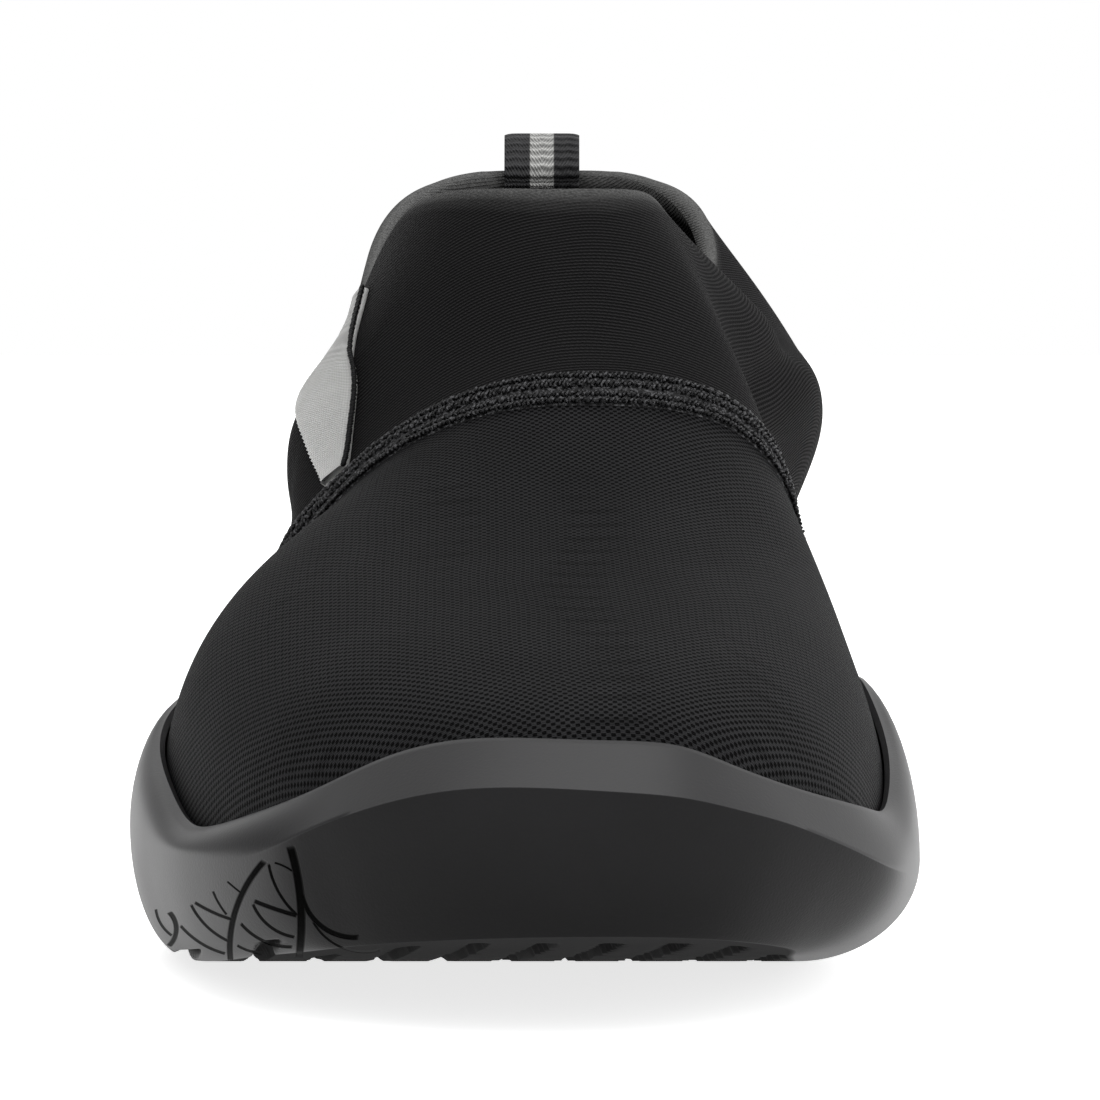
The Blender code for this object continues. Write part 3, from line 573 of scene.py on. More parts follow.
def rubberFinish():
    finish, start = newFinish("moulded rubber")
    place = start.place()
    # the facet band is smoother moulding, and its darker tone is partly painted shade where it faces down
    groove, facet = start.mark("groove"), start.mark("facet")
    veins = veinLines(start, start.cloth())
    low = axes(start, place)[2].step(0.032, 0.006)  # painted shade: darker and with a thinner coat towards the ground
    groove = groove.top(veins)
    cloudy = noise(start, place, 45.0, 4.0)
    grain = noise(start, place, 2600.0, 2.0)
    # painted shade: the tone drops in the grooves and veins and over the whole underside, which carries a full
    # groove mark
    tone = (cloudy - 0.5) * 0.5 + 0.62 - facet * 0.42 - groove * 0.9 - low * 0.30
    colour = veins.mix(tone.share().mix(rubberLook["dark"], rubberLook["pale"]), rubberLook["vein"])
    rough = cloudy * 0.14 + (rubberLook["roughness"] - 0.07) + facet * 0.06 + groove * 0.45
    coat = (1 - facet * 0.88 - groove) * (1 - low * 0.55) * rubberLook["coat"]
    # metal of almost no colour reflects nothing, so that the veins stay black: painted shade in the vein grooves
    shine = {"Specular_IOR_Level": 0.07, "Coat_Weight": coat.top(0.0), "Coat_Roughness": 0.38, "Metallic": veins}
    shade(start, colour, rough, grain * 0.05 - veins, rubberLook["veinDepth"], **shine)
    return finish


meshLook = {
    "columnPitch": 0.00112,
    "rowPitch": 0.00125,
    "dashPitch": 0.0056,
    "thread": (0.0165, 0.0165, 0.0174),
    "hole": (0.0004, 0.0004, 0.0005),
}


# holes where cos(pi u / p) cos(pi v / q) peaks, so that each column stands half a hole from the next
def meshCloth():
    finish, start = newFinish("knitted mesh")
    place = start.place()
    sway = noise(start, place, 42.0, 2.0)
    u, v, _ = axes(start, start.cloth())
    u = u + (sway - 0.5) * 0.0016
    across = u.wave(meshLook["columnPitch"])
    hole = (across * v.wave(meshLook["rowPitch"])).step(-0.10, 0.42)
    yarn = (v * (8 * math.pi / meshLook["rowPitch"]) + across * 1.6).cosine()
    # faint lens-shaped dashes of the layer that lies under the mesh
    rowWave = (u * 360.0).cosine() * 0.0006 + v
    columnWave = (v * 90.0).cosine() * 0.002 + u
    dash = rowWave.wave(meshLook["dashPitch"]).step(0.30, 0.95) * (columnWave * 330.0).cosine().step(-0.1, 0.8)
    dash = dash * noise(start, place, 26.0, 1.0).step(0.46, 0.60)
    cloudy = noise(start, place, 90.0, 3.0)
    tone = cloudy * 0.7 + yarn * 0.14 + 0.15
    thread = tone.mix(*(tuple(c * level for c in meshLook["thread"]) for level in (0.55, 1.45)))
    colour = (hole * 0.99 + dash * 0.36).low(0.99).mix(thread, meshLook["hole"])
    height = (1 - hole) * 0.8 + yarn * 0.12 - dash * 0.15
    shade(start, colour, hole * 0.2 + 0.55, height, 0.00030, Specular_IOR_Level=0.04)
    return finish


neopreneLook = {
    "ribPitch": 0.00053,
    "stitchPitch": 0.00062,
    "dark": (0.0030, 0.0029, 0.0031),
    "pale": (0.0180, 0.0175, 0.0180),
    "cutEdge": (0.13, 0.13, 0.128),
}


# ribs that arch over the front band and run level behind, over a finer knit, and a fuzzy pale cut edge
def neopreneCloth():
    finish, start = newFinish("neoprene jersey")
    place = start.place()
    cutEdge = start.mark("edge")
    x, y, z = axes(start, place)
    sway = noise(start, place, 30.0, 2.0)
    along = z - x * 0.28 + x * x * y.step(0.060, 0.010) * 13.0 + y * 0.25 + (sway - 0.5) * 0.0040
    rib = along.wave(neopreneLook["ribPitch"])
    stitch = ((x * 0.8 + z * 0.6 + y * 0.5) * (2 * math.pi / neopreneLook["stitchPitch"]) + rib * 1.2).cosine()
    cloudy = noise(start, place, 60.0, 3.0)
    fuzz = noise(start, place, 2600.0, 2.0)
    tone = cloudy * 0.35 + rib * 0.62 + stitch * 0.14 + fuzz * 0.35 + 0.02
    knit = tone.share().mix(neopreneLook["dark"], neopreneLook["pale"])
    colour = (cutEdge * (fuzz * 1.6 + 0.1)).share().mix(knit, neopreneLook["cutEdge"])
    height = rib * 0.8 + stitch * 0.2 + fuzz * 0.4
    shade(start, colour, fuzz * 0.15 + 0.80, height, 0.00015, Specular_IOR_Level=0.06)
    return finish


def threadFinish(name, dark, pale):
    finish, start = newFinish(name)
    place = start.place()
    fibre = noise(start, place, 2200.0, 2.0)
    colour = fibre.step(0.45, 0.72).mix(dark, pale)
    shade(start, colour, fibre * 0.2 + 0.42, fibre, 0.00005, Specular_IOR_Level=0.14)
    return finish


tapeLook = {"ribPitch": 0.00043, "warpPitch": 0.00034, "pale": (0.61, 0.61, 0.60), "shade": (0.34, 0.34, 0.334)}


def tapeFinish():
    finish, start = newFinish("woven tape")
    place = start.place()
    u, v, _ = axes(start, start.cloth())
    cloudy = noise(start, place, 160.0, 3.0)
    rib = (v * (2 * math.pi / tapeLook["ribPitch"]) + (cloudy - 0.5) * 1.2).cosine()
    warp = (u * (2 * math.pi / tapeLook["warpPitch"]) + rib * 0.8).cosine()
    tone = rib * 0.28 + warp * 0.10 + cloudy * 0.4 + 0.32
    colour = tone.share().mix(tapeLook["shade"], tapeLook["pale"])
    shade(start, colour, 0.72, rib * 0.7 + warp * 0.3, 0.00008, Specular_IOR_Level=0.35)
    return finish


loopLook = {
    "ribPitch": 0.00118,
    "yarnPitch": 0.00052,
    "bowPitch": 0.0021,
    "bow": 0.00009,
    "stripe": 0.0019,
    "stripeEdge": 0.00012,
    "black": ((0.0055, 0.0055, 0.006), (0.030, 0.030, 0.032)),
    "pale": ((0.16, 0.16, 0.155), (0.52, 0.52, 0.505)),
}


def webbingFinish():
    finish, start = newFinish("striped webbing")
    u, v, _ = axes(start, start.cloth())
    rib = (v + u.wave(loopLook["bowPitch"]) * loopLook["bow"]).wave(loopLook["ribPitch"])
    twill = (abs(u) + v * 0.8).wave(loopLook["yarnPitch"])
    stripe = abs(u).step(loopLook["stripe"] + loopLook["stripeEdge"], loopLook["stripe"] - loopLook["stripeEdge"])
    black = (twill * 0.3 + rib * 0.2 + 0.5).mix(*loopLook["black"])
    pale = (twill * 0.25 + rib * 0.3 + 0.45).mix(*loopLook["pale"])
    shade(start, stripe.mix(black, pale), 0.62, rib * 0.7 + twill * 0.3, 0.00018, Specular_IOR_Level=0.4)
    return finish


def insoleFinish():
    finish, start = newFinish("insole jersey")
    place = start.place()
    x, y, _ = axes(start, place)
    weave = x.wave(0.0011) * y.wave(0.0013)
    cloudy = noise(start, place, 50.0, 3.0)
    colour = (weave * 0.3 + cloudy * 0.6 + 0.1).mix((0.005, 0.005, 0.0055), (0.020, 0.020, 0.021))
    shade(start, colour, 0.85, weave, 0.00012, Specular_IOR_Level=0.25)
    return finish


rubber, meshFabric, neoprene = rubberFinish(), meshCloth(), neopreneCloth()
thread = threadFinish("seam thread", (0.0030, 0.0030, 0.0033), (0.085, 0.085, 0.089))
selvedgeThread = threadFinish("selvedge thread", (0.0015, 0.0015, 0.0017), (0.006, 0.006, 0.0065))
tape, webbing, insoleCloth = tapeFinish(), webbingFinish(), insoleFinish()
print("finishes made:", len(bpy.data.materials))


# ways round the shoe, closer together on the lateral front corner where the tread climbs the wall
def unevenWays(count, focus=0.0):
    dense = np.linspace(0, 2, 4001)
    weight = 1 + focus * np.exp(-(((dense - 0.40) / 0.13) ** 2))
    grown = walked((weight[1:] + weight[:-1]) / 2)
    share, heel = np.arange(count // 2) / (count // 2), np.interp(1, dense, grown)
    return np.interp(np.concatenate([share * heel, heel + share * (grown[-1] - heel)]), grown, dense)


def soleOutline(way):
    hand, share = fold(way)
    return np.stack([axisX + hand * outlineHalf(hand, share), between(toeY, heelY, share)], -1)


def outlineNormal(way):
    tangent = soleOutline(way + 1e-3) - soleOutline(way - 1e-3)
    return unit(np.stack([-tangent[..., 1], tangent[..., 0]], -1))


def rimLevel(way):
    hand, share = fold(way)
    target = shoe["rimHeight"] * sided(rim, hand, share)
    return halve(lambda level: upperSkin(way, level)[..., 2], target, np.zeros_like(way), np.full_like(way, 0.7))


def sideProfile(way):
    hand, share = fold(way)
    belt, tuck, crease = (sided(side, hand, share, name) for name in ("belt", "tuck", "crease"))
    return shoe["rimHeight"] * belt, shoe["edgeTuck"] * tuck, crease.clip(0, 1)


# superellipse quarter: inward tuck (1 - sin^p), up belt (1 - cos^p), p = 2 / (2 - 0.8 crease)
def lowerSide(way, climb):
    belt, tuck, crease = sideProfile(way)
    power = 2 / (2 - 0.8 * crease)
    angle = climb * math.pi / 2
    flat = soleOutline(way) - outlineNormal(way) * (tuck * (1 - np.sin(angle) ** power))[..., None]
    base = bottomZ(flat[..., 1])
    return np.concatenate([flat, (base + (belt - base) * (1 - np.cos(angle) ** power))[..., None]], -1)


# from the widest line up to the rim: in (1 - cos(b c)) / (1 - cos b), up sin(b c) / sin b, straight at a crease
def upperSide(way, climb, level):
    crease = sideProfile(way)[2]
    low = lowerSide(way, np.ones_like(way))
    high = upperSkin(way, level, shoe["gap"] + shoe["rimThickness"])
    bend = shoe["sideBend"]
    leaned, raised = (1 - np.cos(climb * bend)) / (1 - math.cos(bend)), np.sin(climb * bend) / math.sin(bend)
    flat = low[..., :2] + (high - low)[..., :2] * (leaned + (climb - leaned) * crease)[..., None]
    z = low[..., 2] + (high - low)[..., 2] * (raised + (climb - raised) * crease)
    return np.concatenate([flat, z[..., None]], -1)


# what a user would change about the tread: its long grooves and the leaf veins between them
tread = {
    "pitch": 0.0084,
    "width": 0.0020,
    "depth": 0.0018,
    "margin": 0.016,
    "lateralShare": 0.30,
    "frontEnd": 0.136,
    "heelStart": 0.196,
    "heelEnd": 0.284,
    "veinPitch": 0.0052,
    "veinWidth": 0.0008,
    "veinDepth": 0.0010,
    "veinStart": 0.075,
    "fullMark": 0.0016,
}


def toNearest(value, pitch):  # distance to the nearest odd half pitch
    turns = value / pitch
    return np.abs(turns - np.floor(turns) - 0.5) * pitch


# long grooves at every pitch, and leaf veins that sweep from them: max of 1 - smooth(distance / width)
def bottomDepth(x, y):
    share = turned((y - toeY) / shoe["length"])
    middle = axisX + shoe["ballWidth"] * (plan["medial"](share) - plan["lateral"](share)) / 2
    long = toNearest(x - middle, tread["pitch"])
    fromToe = y - toeY
    room = outlineHalf(np.sign(x - axisX), share) - np.abs(x - axisX)
    lateral = x - middle < -tread["lateralShare"] * shoe["ballWidth"]
    inset = smooth((np.minimum(room, fromToe) - tread["margin"]) / 0.002)
    front = np.where(lateral, smooth(room / 0.001), inset) * smooth((tread["frontEnd"] - fromToe) / 0.004)
    heel = smooth((fromToe - tread["heelStart"]) / 0.004) * smooth((tread["heelEnd"] - fromToe) / 0.003)
    groove = tread["depth"] * (1 - smooth((long - tread["width"] / 2 + 0.0002) / 0.0005))
    vein = toNearest(y - 0.55 * long - 6.0 * long**2 / tread["pitch"], tread["veinPitch"])
    veins = tread["veinDepth"] * (1 - smooth((vein - tread["veinWidth"] / 2 + 0.0001) / 0.0004))
    veins = veins * smooth((0.0040 - long) / 0.0012) * smooth((fromToe - tread["veinStart"]) / 0.01)
    return np.maximum(groove, veins) * (front + heel)


# rings from the inside floor over the rim and down the wall, then rows straight across the underside
def makeSole():
    count, treadRows, wallRings, lowRings = 640, 84, 12, 64
    way = unevenWays(count, 6.0)
    level = rimLevel(way)
    rings = [upperSkin(way, level * i / 3, shoe["gap"]) for i in range(4)]
    rings[0][:, 2] = floorZ(rings[0][:, 1])
    rings.append(upperSkin(way, level, shoe["gap"] + shoe["rimThickness"] / 2) + np.array([0, 0, 0.00035]))
    rings += [upperSide(way, np.full(count, 1 - i / wallRings), level) for i in range(wallRings)]
    climbs = 1 - np.arange(lowRings) / (lowRings - 1)
    lower = [lowerSide(way, np.full(count, c)) for c in climbs]
    sides = np.stack(rings + lower)
    facet = np.zeros(sides.shape[:2])
    crease = sideProfile(way)[2]
    # facet marks the smoother moulded band low on the front; the rubber finish darkens it, partly as painted
    # shade
    facet[-lowRings:] = smooth(crease * 1.2 - 0.1)[None] * smooth((1 - climbs) * 30)[:, None]
    # the grooves notch the lowest edge of the wall: it moves in along its own normal
    normal = unit(np.cross(np.gradient(sides, axis=1), np.gradient(sides, axis=0)))
    overGround = sides[..., 2] - bottomZ(sides[..., 1])
    deep = bottomDepth(sides[..., 0], sides[..., 1]) * smooth((0.0016 - overGround) / 0.0008)
    deep[:-lowRings] = 0
    middle = sides.mean((0, 1))
    outward = np.sign((normal[30] * (sides[30] - middle)).sum(-1).mean())
    sides = sides - normal * outward * deep[..., None]
    # the underside: each way is joined straight across to its partner
    half = count // 2
    edge = np.stack(lower)[-1]
    left, right = edge[1:half], edge[:half:-1]
    t = np.linspace(0, 1, treadRows + 1)[1:-1, None, None]
    under = left[None] * (1 - t) + right[None] * t
    cut = bottomDepth(under[..., 0], under[..., 1])
    under[..., 2] = bottomZ(under[..., 1]) + cut
    # the inside floor is hidden by the insole and closes with rungs
    points = np.concatenate([sides.reshape(-1, 3), under.reshape(-1, 3)])
    faces = gridFaces(len(sides), count)
    base, start = (len(sides) - 1) * count, len(sides) * count
    ends = np.arange(1, half)
    inner = start + np.arange((treadRows - 1) * (half - 1)).reshape(treadRows - 1, half - 1)
    grid = np.concatenate([base + ends[None], inner, base + count - ends[None]])
    rows = np.stack([grid[:-1, :-1], grid[:-1, 1:], grid[1:, 1:], grid[1:, :-1]], -1).reshape(-1, 4)
    toeFan = np.stack([np.full(treadRows, base), grid[:-1, 0], grid[1:, 0]], -1)
    heelFan = np.stack([grid[:-1, -1], np.full(treadRows, base + half), grid[1:, -1]], -1)
    ends = ends[:-1]
    rungs = np.stack([count - ends, count - ends - 1, ends + 1, ends], -1)
    caps = [(0, count - 1, 1), (half - 1, half + 1, half)]
    faces = [*faces.tolist(), *rows.tolist(), *toeFan.tolist(), *heelFan.tolist(), *rungs.tolist(), *caps]
    # painted shade: the notches at the wall's foot and the whole underside get groove marks, which the rubber
    # finish paints dark
    groove = np.concatenate([(deep / tread["fullMark"]).clip(0, 1).ravel(), np.ones(cut.size)])
    marks = {"groove": groove, "facet": np.concatenate([facet.ravel(), np.zeros(cut.size)])}
    # the side's uv is what the front shows, shrunk with distance
    shrunk = (studio["cameraBack"] - cornerPlane) / (studio["cameraBack"] + points[:, 1])
    up = studio["cameraUp"] - (studio["cameraUp"] - points[:, 2]) * shrunk
    uv = np.stack([(points[:, 0] - axisX) * shrunk, up], -1) * 1000
    sole = addPiece("sole_shell", points, faces, rubber, "sole", uv, marks, smoothAngle=50)
    fixNormals(sole)
    return sole


def fixNormals(piece):
    body = bmesh.new()
    body.from_mesh(piece.data)
    bmesh.ops.recalc_face_normals(body, faces=body.faces)
    body.to_mesh(piece.data)
    body.free()


sole = makeSole()
print("sole faces:", len(sole.data.polygons))


# a low wall just inside the upper, and rows across its top, cupped 0.6 mm
def makeInsole():
    way, treadRows = unevenWays(360), 40
    ground = np.zeros_like(way)

    def inner(level):
        points = lastForm(way, level)
        return points - lastNormal(way, level) * (wallAt(points) + shoe["gap"])[..., None]

    def edge(height):
        target = floorZ(lastForm(way, ground)[:, 1]) + height
        ring = inner(halve(lambda level: inner(level)[..., 2], target, ground, np.full_like(way, 0.7)))
        ring[:, 2] = floorZ(ring[:, 1]) + height
        return ring

    low, high = edge(shoe["gap"]), edge(shoe["gap"] + 0.003)
    count, half = len(way), len(way) // 2
    t = np.linspace(0, 1, treadRows)[:, None, None]
    top = high[None, 1:half] * (1 - t) + high[:half:-1][None] * t
    top[..., 2] += ((2 * t[..., 0] - 1) ** 6 - 1) * 0.0006
    points = np.concatenate([low, high, top.reshape(-1, 3)])
    sheet = gridFaces(treadRows, half - 1, ringed=False)[:, [0, 3, 2, 1]] + 2 * count
    faces = [*gridFaces(2, count).tolist(), *sheet.tolist()]
    addPiece("insole_sheet", points, faces, insoleCloth, "insole")


makeInsole()


# distance round the section from the ridge, worked out on a table of stations and heights
tableY = np.linspace(formToeY + 0.0005, formHeelY - 0.0005, 240)
tableHeight = 1 - np.linspace(0, 1, 160) ** 2
arcTable = {}
for hand in (-1.0, 1.0):
    sheet = lastPoint(np.float64(hand), tableY[:, None], tableHeight[None, :])
    arcTable[hand] = walked(np.linalg.norm(np.diff(sheet, axis=1), axis=-1), 1)


def bilinear(table, row, column):
    row, column = np.clip(row, 0, table.shape[0] - 1.001), np.clip(column, 0, table.shape[1] - 1.001)
    r, c = row.astype(int), column.astype(int)
    a, b = row - r, column - c
    near = table[r, c] * (1 - a) + table[r + 1, c] * a
    return near * (1 - b) + (table[r, c + 1] * (1 - a) + table[r + 1, c + 1] * a) * b


# u runs round the section from the ridge, v along the ridge
def clothPlace(way, level):
    hand, y, height = ringPlace(way, level)
    row = (y - tableY[0]) / (tableY[1] - tableY[0])
    column = np.sqrt(1 - height.clip(0, 1)) * (len(tableHeight) - 1)
    u = pick(hand, -bilinear(arcTable[-1.0], row, column), bilinear(arcTable[1.0], row, column))
    stretch = 1 + 0.14 * np.clip((seamY - y) / (seamY - formToeY), 0, 1)
    return np.stack([u / stretch, np.interp(y, ridgeY, ridgeArc) + np.maximum(0, y - collarY)], -1)


def makeUpper():
    count, rows = 560, 92
    way = unevenWays(count)
    level = rimLevel(way)
    levels = [level * i / 4 for i in range(4)] + [level + (1 - level) * i / rows for i in range(rows + 1)]
    outer = [upperSkin(way, l) for l in levels]
    places = [clothPlace(way, l) for l in levels]
    innerLevels = [levels[i] for i in (0, 2, 4)] + [level + (1 - level) * s for s in np.linspace(0.08, 1, 22)]
    inner = []
    for l in innerLevels:
        skin = upperSkin(way, l)
        inner.append(skin - lastNormal(way, l) * wallAt(skin)[:, None])
    inner[0][:, 2] = outer[0][:, 2]
    edge = (outer[-1] + inner[-1]) / 2 + np.array([0, 0, 0.0007])
    rings = outer + [edge] + inner[::-1]
    cutEdge = np.zeros((len(rings), count))
    cutEdge[len(outer)] = 1
    cutEdge[[len(outer) - 1, len(outer) + 1]] = 0.8
    cutEdge[len(outer) - 2] = 0.15
    uv = np.stack(places + [places[-1]] + [clothPlace(way, l) for l in innerLevels[::-1]])
    points = np.stack(rings)
    faces = gridFaces(len(rings), count, joined=True)
    marks = {"edge": cutEdge}
    upper = addPiece("upper_cloth", points, faces, meshFabric, "upper", uv, marks)
    upper.data.materials.append(neoprene)
    centre = points.reshape(-1, 3)[faces].mean(1)
    behind = (behindSeam(centre) > 0.0002).astype(np.int32)
    inside = np.repeat(np.arange(len(rings)) >= len(outer), count)
    upper.data.polygons.foreach_set("material_index", np.maximum(behind, inside.astype(np.int32)))
    fixNormals(upper)
    return upper


upper = makeUpper()
print("upper faces:", len(upper.data.polygons))


# a point over the arch: angle runs from the lateral foot (-1) over the ridge (0) to the medial foot (1)
def archPoint(angle, y):
    hand = np.where(angle < 0, -1.0, 1.0)
    here = crownPlace(y)
    arch = sided(crown, hand, here, "round")
    height = np.cos(np.abs(angle) * math.pi / 2).clip(0, 1) ** (2 / arch)
    return lastPoint(hand, y, height)


def archSkin(angle, y, out):
    points = archPoint(angle, y)
    acrossStep = archPoint(angle + 0.004, y) - archPoint(angle - 0.004, y)
    normal = unit(np.cross(acrossStep, archPoint(angle, y + 0.0004) - archPoint(angle, y - 0.0004)))
    normal = normal * np.sign(normal[..., 2:] + 1e-9)
    return points + normal * (shoe["neopreneStep"] * neopreneShare(points) + out)[..., None]


# rows of the seam: for each row the place along y where the arch meets the raked plane
def seamCurve(behind, steps, start=-0.955, end=0.955):
    angle = np.linspace(start, end, 900)
    low, high = np.full_like(angle, seamY - 0.012), np.full_like(angle, seamY + 0.045)
    y = halve(lambda y: behindSeam(archPoint(angle, y)), behind, low, high)
    line = archPoint(angle, y)
    arc = walked(np.linalg.norm(np.diff(line, axis=0), axis=1))
    walk = np.linspace(0, arc[-1], steps)
    return np.interp(walk, arc, angle), np.interp(walk, arc, y), walk


seamLook = {"loop": 0.00130, "sway": 0.00074, "radius": 0.00023, "rows": (-0.0030, -0.0012, 0.0010, 0.0029)}


# a place on the band: distance behind the seam's plane, walk along it, height over the cloth
def seamSkin(behind, walk, out):
    low, high = (seamCurve(b, 900) for b in (-0.004, 0.004))
    share = (behind + 0.004) / 0.008
    a = np.interp(walk, low[2], low[0]) * (1 - share) + np.interp(walk, high[2], high[0]) * share
    y = np.interp(walk, low[2], low[1]) * (1 - share) + np.interp(walk, high[2], high[1]) * share
    return archSkin(a, y, out)


def makeSeam():
    # the band under the stitches: a flat strip with rounded edges
    lines = np.linspace(-0.5, 0.5, 13) * shoe["seamWidth"]
    strip = []
    for b in lines:
        a, y, _ = seamCurve(b, 260)
        edge = 1 - (abs(b) / (shoe["seamWidth"] / 2)) ** 4
        strip.append(archSkin(a, y, np.full(260, 0.0001 + 0.0004 * edge)))
    band = np.stack(strip)
    under = np.stack([archSkin(*seamCurve(b, 260)[:2], np.full(260, -0.0003)) for b in lines[::-1]])
    loop = np.concatenate([band, under])
    faces = gridFaces(len(loop), 260, ringed=False, joined=True)
    fixNormals(addPiece("seam_band", loop, faces, thread, "vamp_seam"))
    # loops: across a sin(w), along b sin(2 w), out c cos(w), each loop a little different
    random = np.random.default_rng(5)
    paths, thick = [], []
    steps, reach = 1700, seamCurve(0.0, 900)[2][-1] * 0.995
    walk = np.linspace(0, reach, steps)
    for row in seamLook["rows"]:
        for strand in range(2):
            loose = np.interp(walk, np.linspace(0, reach, 110), random.uniform(0.6, 1.35, 110))
            slip = np.interp(walk, np.linspace(0, reach, 60), random.uniform(-0.9, 0.9, 60))
            w = walk / seamLook["loop"] * 2 * math.pi + strand * math.pi * 0.9 + slip
            behind = row + np.sin(w) * seamLook["sway"] * loose
            along = walk + np.sin(2 * w + 0.6) * 0.00020 * loose
            out = 0.00052 + np.cos(w + 0.8) * 0.00026 * loose + strand * 0.00006
            paths.append(seamSkin(behind, along.clip(0, reach), out))
            thick.append(seamLook["radius"] * (1 + 0.16 * np.sin(3 * w)) * (0.8 + 0.2 * loose))
    points, faces = tubes(np.stack(paths), np.stack(thick), 6)
    stitches = addPiece("seam_stitches", points, faces, thread)
    fixNormals(stitches)
    return stitches


stitches = makeSeam()
print("seam faces:", len(stitches.data.polygons))


# side tab: front and rear edges as shares of its reach behind the seam and of its height
tab = {"reach": 0.090, "low": 0.0625, "high": 0.091, "standoff": 0.0003, "thickness": 0.001}
tabFront = ((0, 0.09), (0.08, 0.23), (0.17, 0.42), (0.33, 0.70), (0.62, 0.97))
tabRear = ((0.01, 0), (0.12, 0.14), (0.27, 0.34), (0.55, 0.60), (0.88, 0.90))


def tabEdge(edge, share):
    reach, up = np.array(edge).T
    knots = np.linspace(0, 1, 5)
    z = tab["low"] + (tab["high"] - tab["low"]) * spline(knots, up)(share)
    behind = (shoe["seamWidth"] / 2 + shoe["gap"]) * math.hypot(1, shoe["seamRake"])
    return seamY - shoe["seamRake"] * (z - seamZ) + behind + tab["reach"] * spline(knots, reach)(share), z


# the lateral skin over a place seen from the side: height = (z - floor - gap) / (rise - gap)
def sidePoint(y, z):
    height = (z - floorZ(y) - shoe["gap"]) / (topZ(y, -1.0) - floorZ(y) - shoe["gap"])
    return lastPoint(-1.0, y, height)


def sideSkin(y, z, out):
    points = sidePoint(y, z)
    e = 0.0003
    normal = unit(np.cross(sidePoint(y, z + e) - sidePoint(y, z - e), sidePoint(y + e, z) - sidePoint(y - e, z)))
    normal = normal * -np.sign(normal[..., :1])
    return points + normal * (shoe["neopreneStep"] * neopreneShare(points) + out)[..., None]


def makeTab():
    rows, count = 420, 36
    s = np.linspace(0, 1, rows)[:, None]
    c = np.linspace(0, 1, count)[None, :]
    fy, fz = tabEdge(tabFront, s)
    ry, rz = tabEdge(tabRear, s)
    y, z = fy * (1 - c) + ry * c, fz * (1 - c) + rz * c
    middle = count // 2
    arc = walked(np.hypot(np.diff(y[:, middle]), np.diff(z[:, middle])))[:, None]
    toothed = 0.00016 * np.cos(arc * math.pi / tapeLook["ribPitch"]) * smooth((c - 0.96) / 0.04)
    rib = 0.00006 * np.cos(arc * 2 * math.pi / tapeLook["ribPitch"])
    out = tab["standoff"] + tab["thickness"] + rib - 0.0004 * np.abs(2 * c - 1) ** 8
    face = sideSkin(y + toothed, z, out)
    under = sideSkin(y + toothed, z, np.full_like(y, 0.0001))
    width = np.broadcast_to(c * np.hypot(ry - fy, rz - fz), y.shape)
    uv = np.stack([width, np.broadcast_to(arc, y.shape)], -1)
    points = np.concatenate([face, under[:, ::-1]], 1)
    uv = np.concatenate([uv, uv[:, ::-1]], 1)
    faces = gridFaces(rows, count * 2)
    fixNormals(addPiece("tab_tape", points, faces, tape, "side_tab", uv=uv))
    # dark selvedge down the front edge
    s = np.linspace(0, 1, 500)
    y, z = tabEdge(tabFront, s)
    wobble = 0.00012 * np.sin(s * 700)
    line = sideSkin(y - 0.0003 + wobble, z, 0.0012 + 0.0001 * np.cos(s * 700))
    points, faces = tubes(line[None], 0.00034 + 0.00005 * np.sin(s * 950)[None], 7)
    fixNormals(addPiece("tab_selvedge", points, faces, selvedgeThread))


makeTab()

loopForm = {
    "width": 0.012,
    "thickness": 0.0013,
    "rise": 0.0068,
    "bow": 0.0012,
    "tail": 0.024,
    "tuck": 0.0018,
    "offset": -0.0013,
    "clearance": 0.0009,
}


def heelLine(height, out):
    way = np.ones_like(height)
    level = halve(lambda level: upperSkin(way, level, out)[..., 2], height, way * 0.2, way)
    return upperSkin(way, level, out)[..., 1]


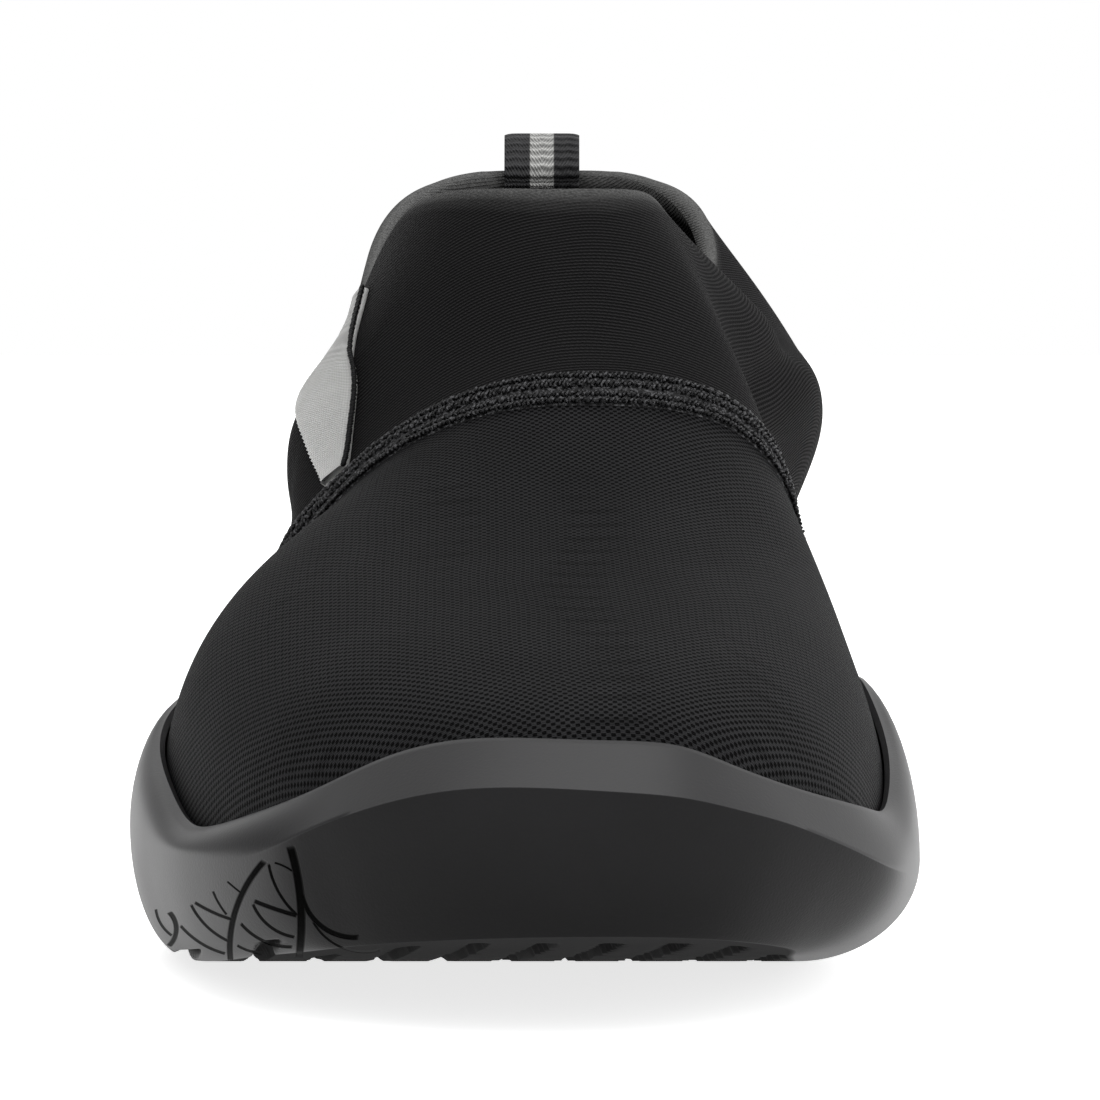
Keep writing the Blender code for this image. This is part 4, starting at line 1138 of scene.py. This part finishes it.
def makeLoop():
    reach = shoe["gap"] + loopForm["thickness"] / 2 + loopForm["clearance"]
    top = shoe["heelHeight"]
    behind = top - loopForm["tail"] * np.linspace(1, 0.08, 4)
    inside = top - loopForm["tuck"] * np.linspace(0.4, 1, 2)
    outer = np.stack([heelLine(behind, reach), behind], -1)
    inner = np.stack([heelLine(inside, -shoe["neopreneWall"] - reach), inside], -1)
    angle = math.pi * np.linspace(0.09, 0.91, 7)
    middle, spread = (outer[-1, 0] + inner[0, 0]) / 2, (outer[-1, 0] - inner[0, 0]) / 2 + loopForm["bow"]
    rise = top + loopForm["rise"] - loopForm["thickness"] / 2 - outer[-1, 1]
    arch = np.stack([middle + spread * np.cos(angle), outer[-1, 1] + rise * np.sin(angle)], -1)
    knots = np.concatenate([outer, arch, inner])
    arc = walked(np.hypot(*np.diff(knots, axis=0).T))
    walk = np.linspace(0, arc[-1], 260)
    line = np.stack([spline(arc, knots[:, 0])(walk), spline(arc, knots[:, 1])(walk)], -1)
    ahead = unit(np.gradient(line, axis=0))
    out = np.stack([ahead[:, 1], -ahead[:, 0]], -1)
    x = np.linspace(-0.5, 0.5, 48)
    ribs = 0.00007 * np.cos(walk * 2 * math.pi / loopLook["ribPitch"])
    rings, uv = [], []
    corner = upperSkin(np.array([0.94]), np.ones(1))[0] - upperSkin(np.ones(1), np.ones(1))[0]
    bend = abs(corner[1]) / corner[0] ** 2
    for face, xs in ((1, x), (-1, x[::-1])):
        edge = 1 - np.abs(2 * xs) ** 10 * 0.5
        away = face * (loopForm["thickness"] / 2 * edge[None, :] + ribs[:, None])
        across = np.broadcast_to(loopForm["width"] * xs[None, :], away.shape)
        py = line[:, :1] + out[:, :1] * away - bend * across**2
        pz = line[:, 1:] + out[:, 1:] * away
        rings.append(np.stack([axisX + loopForm["offset"] + across, py, pz], -1))
        uv.append(np.stack([across, np.broadcast_to(walk[:, None], away.shape)], -1))
    points, uv = np.concatenate(rings, 1), np.concatenate(uv, 1)
    faces = gridFaces(len(walk), 2 * len(x))
    fixNormals(addPiece("heel_loop", points, faces, webbing, "pull_loop", uv=uv))


makeLoop()
print("tab and loop made")

# floor, lights and camera
scene = bpy.context.scene


def floorFinish():
    finish, start = newFinish("pale floor")
    glow = {"Emission_Color": (1, 1, 1, 1), "Emission_Strength": studio["floorGlow"]}
    shade(start, (0.84, 0.84, 0.84, 1), 0.9, Specular_IOR_Level=0.1, **glow)
    return finish


span, floorDrop = studio["floorSize"], 0.0002
floorPoints = [(x * span, y * span, -floorDrop) for x, y in ((-1, -1), (1, -1), (1, 1), (-1, 1))]
floorMesh = bpy.data.meshes.new("studio_floor")
floorMesh.from_pydata(floorPoints, [], [(0, 1, 2, 3)])
floorMesh.materials.append(floorFinish())
studioFloor = bpy.data.objects.new("studio_floor", floorMesh)
scene.collection.objects.link(studioFloor)

world = bpy.data.worlds.new("studio")
scene.world = world
world.use_nodes = True
world.node_tree.nodes["Background"].inputs[0].default_value = (1, 1, 1, 1)
# the sky falls off to the left, which leaves that flank of the shoe in shade
sky = Wire(world.node_tree)
across, _, _ = axes(sky, sky.node("TexCoord", out=0))
level = across.step(-0.92, -0.20) * (studio["worldLevel"] - studio["leftLevel"]) + studio["leftLevel"]
world.node_tree.links.new(level.socket, world.node_tree.nodes["Background"].inputs[1])


def addLight(name, place, aim, size, power):
    lamp = bpy.data.lights.new(name, "AREA")
    lamp.shape, lamp.size, lamp.size_y, lamp.energy = "RECTANGLE", size[0], size[1], power
    holder = bpy.data.objects.new(name, lamp)
    ahead = unit(np.array(aim, float) - np.array(place, float))
    holder.location = place
    holder.rotation_euler = (math.acos(-ahead[2]), 0, math.atan2(-ahead[0], ahead[1]))
    scene.collection.objects.link(holder)


addLight("key", (0.0, -0.15, 1.1), (0, 0, 0), (0.9, 0.7), studio["keyPower"])
addLight("left", (-1.1, -0.5, 0.5), (0, 0, 0.05), (0.5, 0.9), studio["leftPower"])
addLight("right", (1.1, -0.5, 0.5), (0, 0, 0.05), (0.5, 0.9), studio["rightPower"])

photoWidth, levelPixel = 1100, 157  # the row of the photo that lies level with the camera
camera = bpy.data.cameras.new("camera")
camera.sensor_width = 36
camera.lens = camera.sensor_width * studio["pixelScale"] / photoWidth
camera.clip_start, camera.clip_end = 0.01, 20
viewer = bpy.data.objects.new("camera", camera)
viewer.location = (axisX, -studio["cameraBack"], studio["cameraUp"])
down = math.atan((photoWidth / 2 - levelPixel) / studio["pixelScale"])
viewer.rotation_euler = (math.pi / 2 - down, 0, 0)
scene.collection.objects.link(viewer)
scene.camera = viewer
scene.view_settings.view_transform = "Standard"
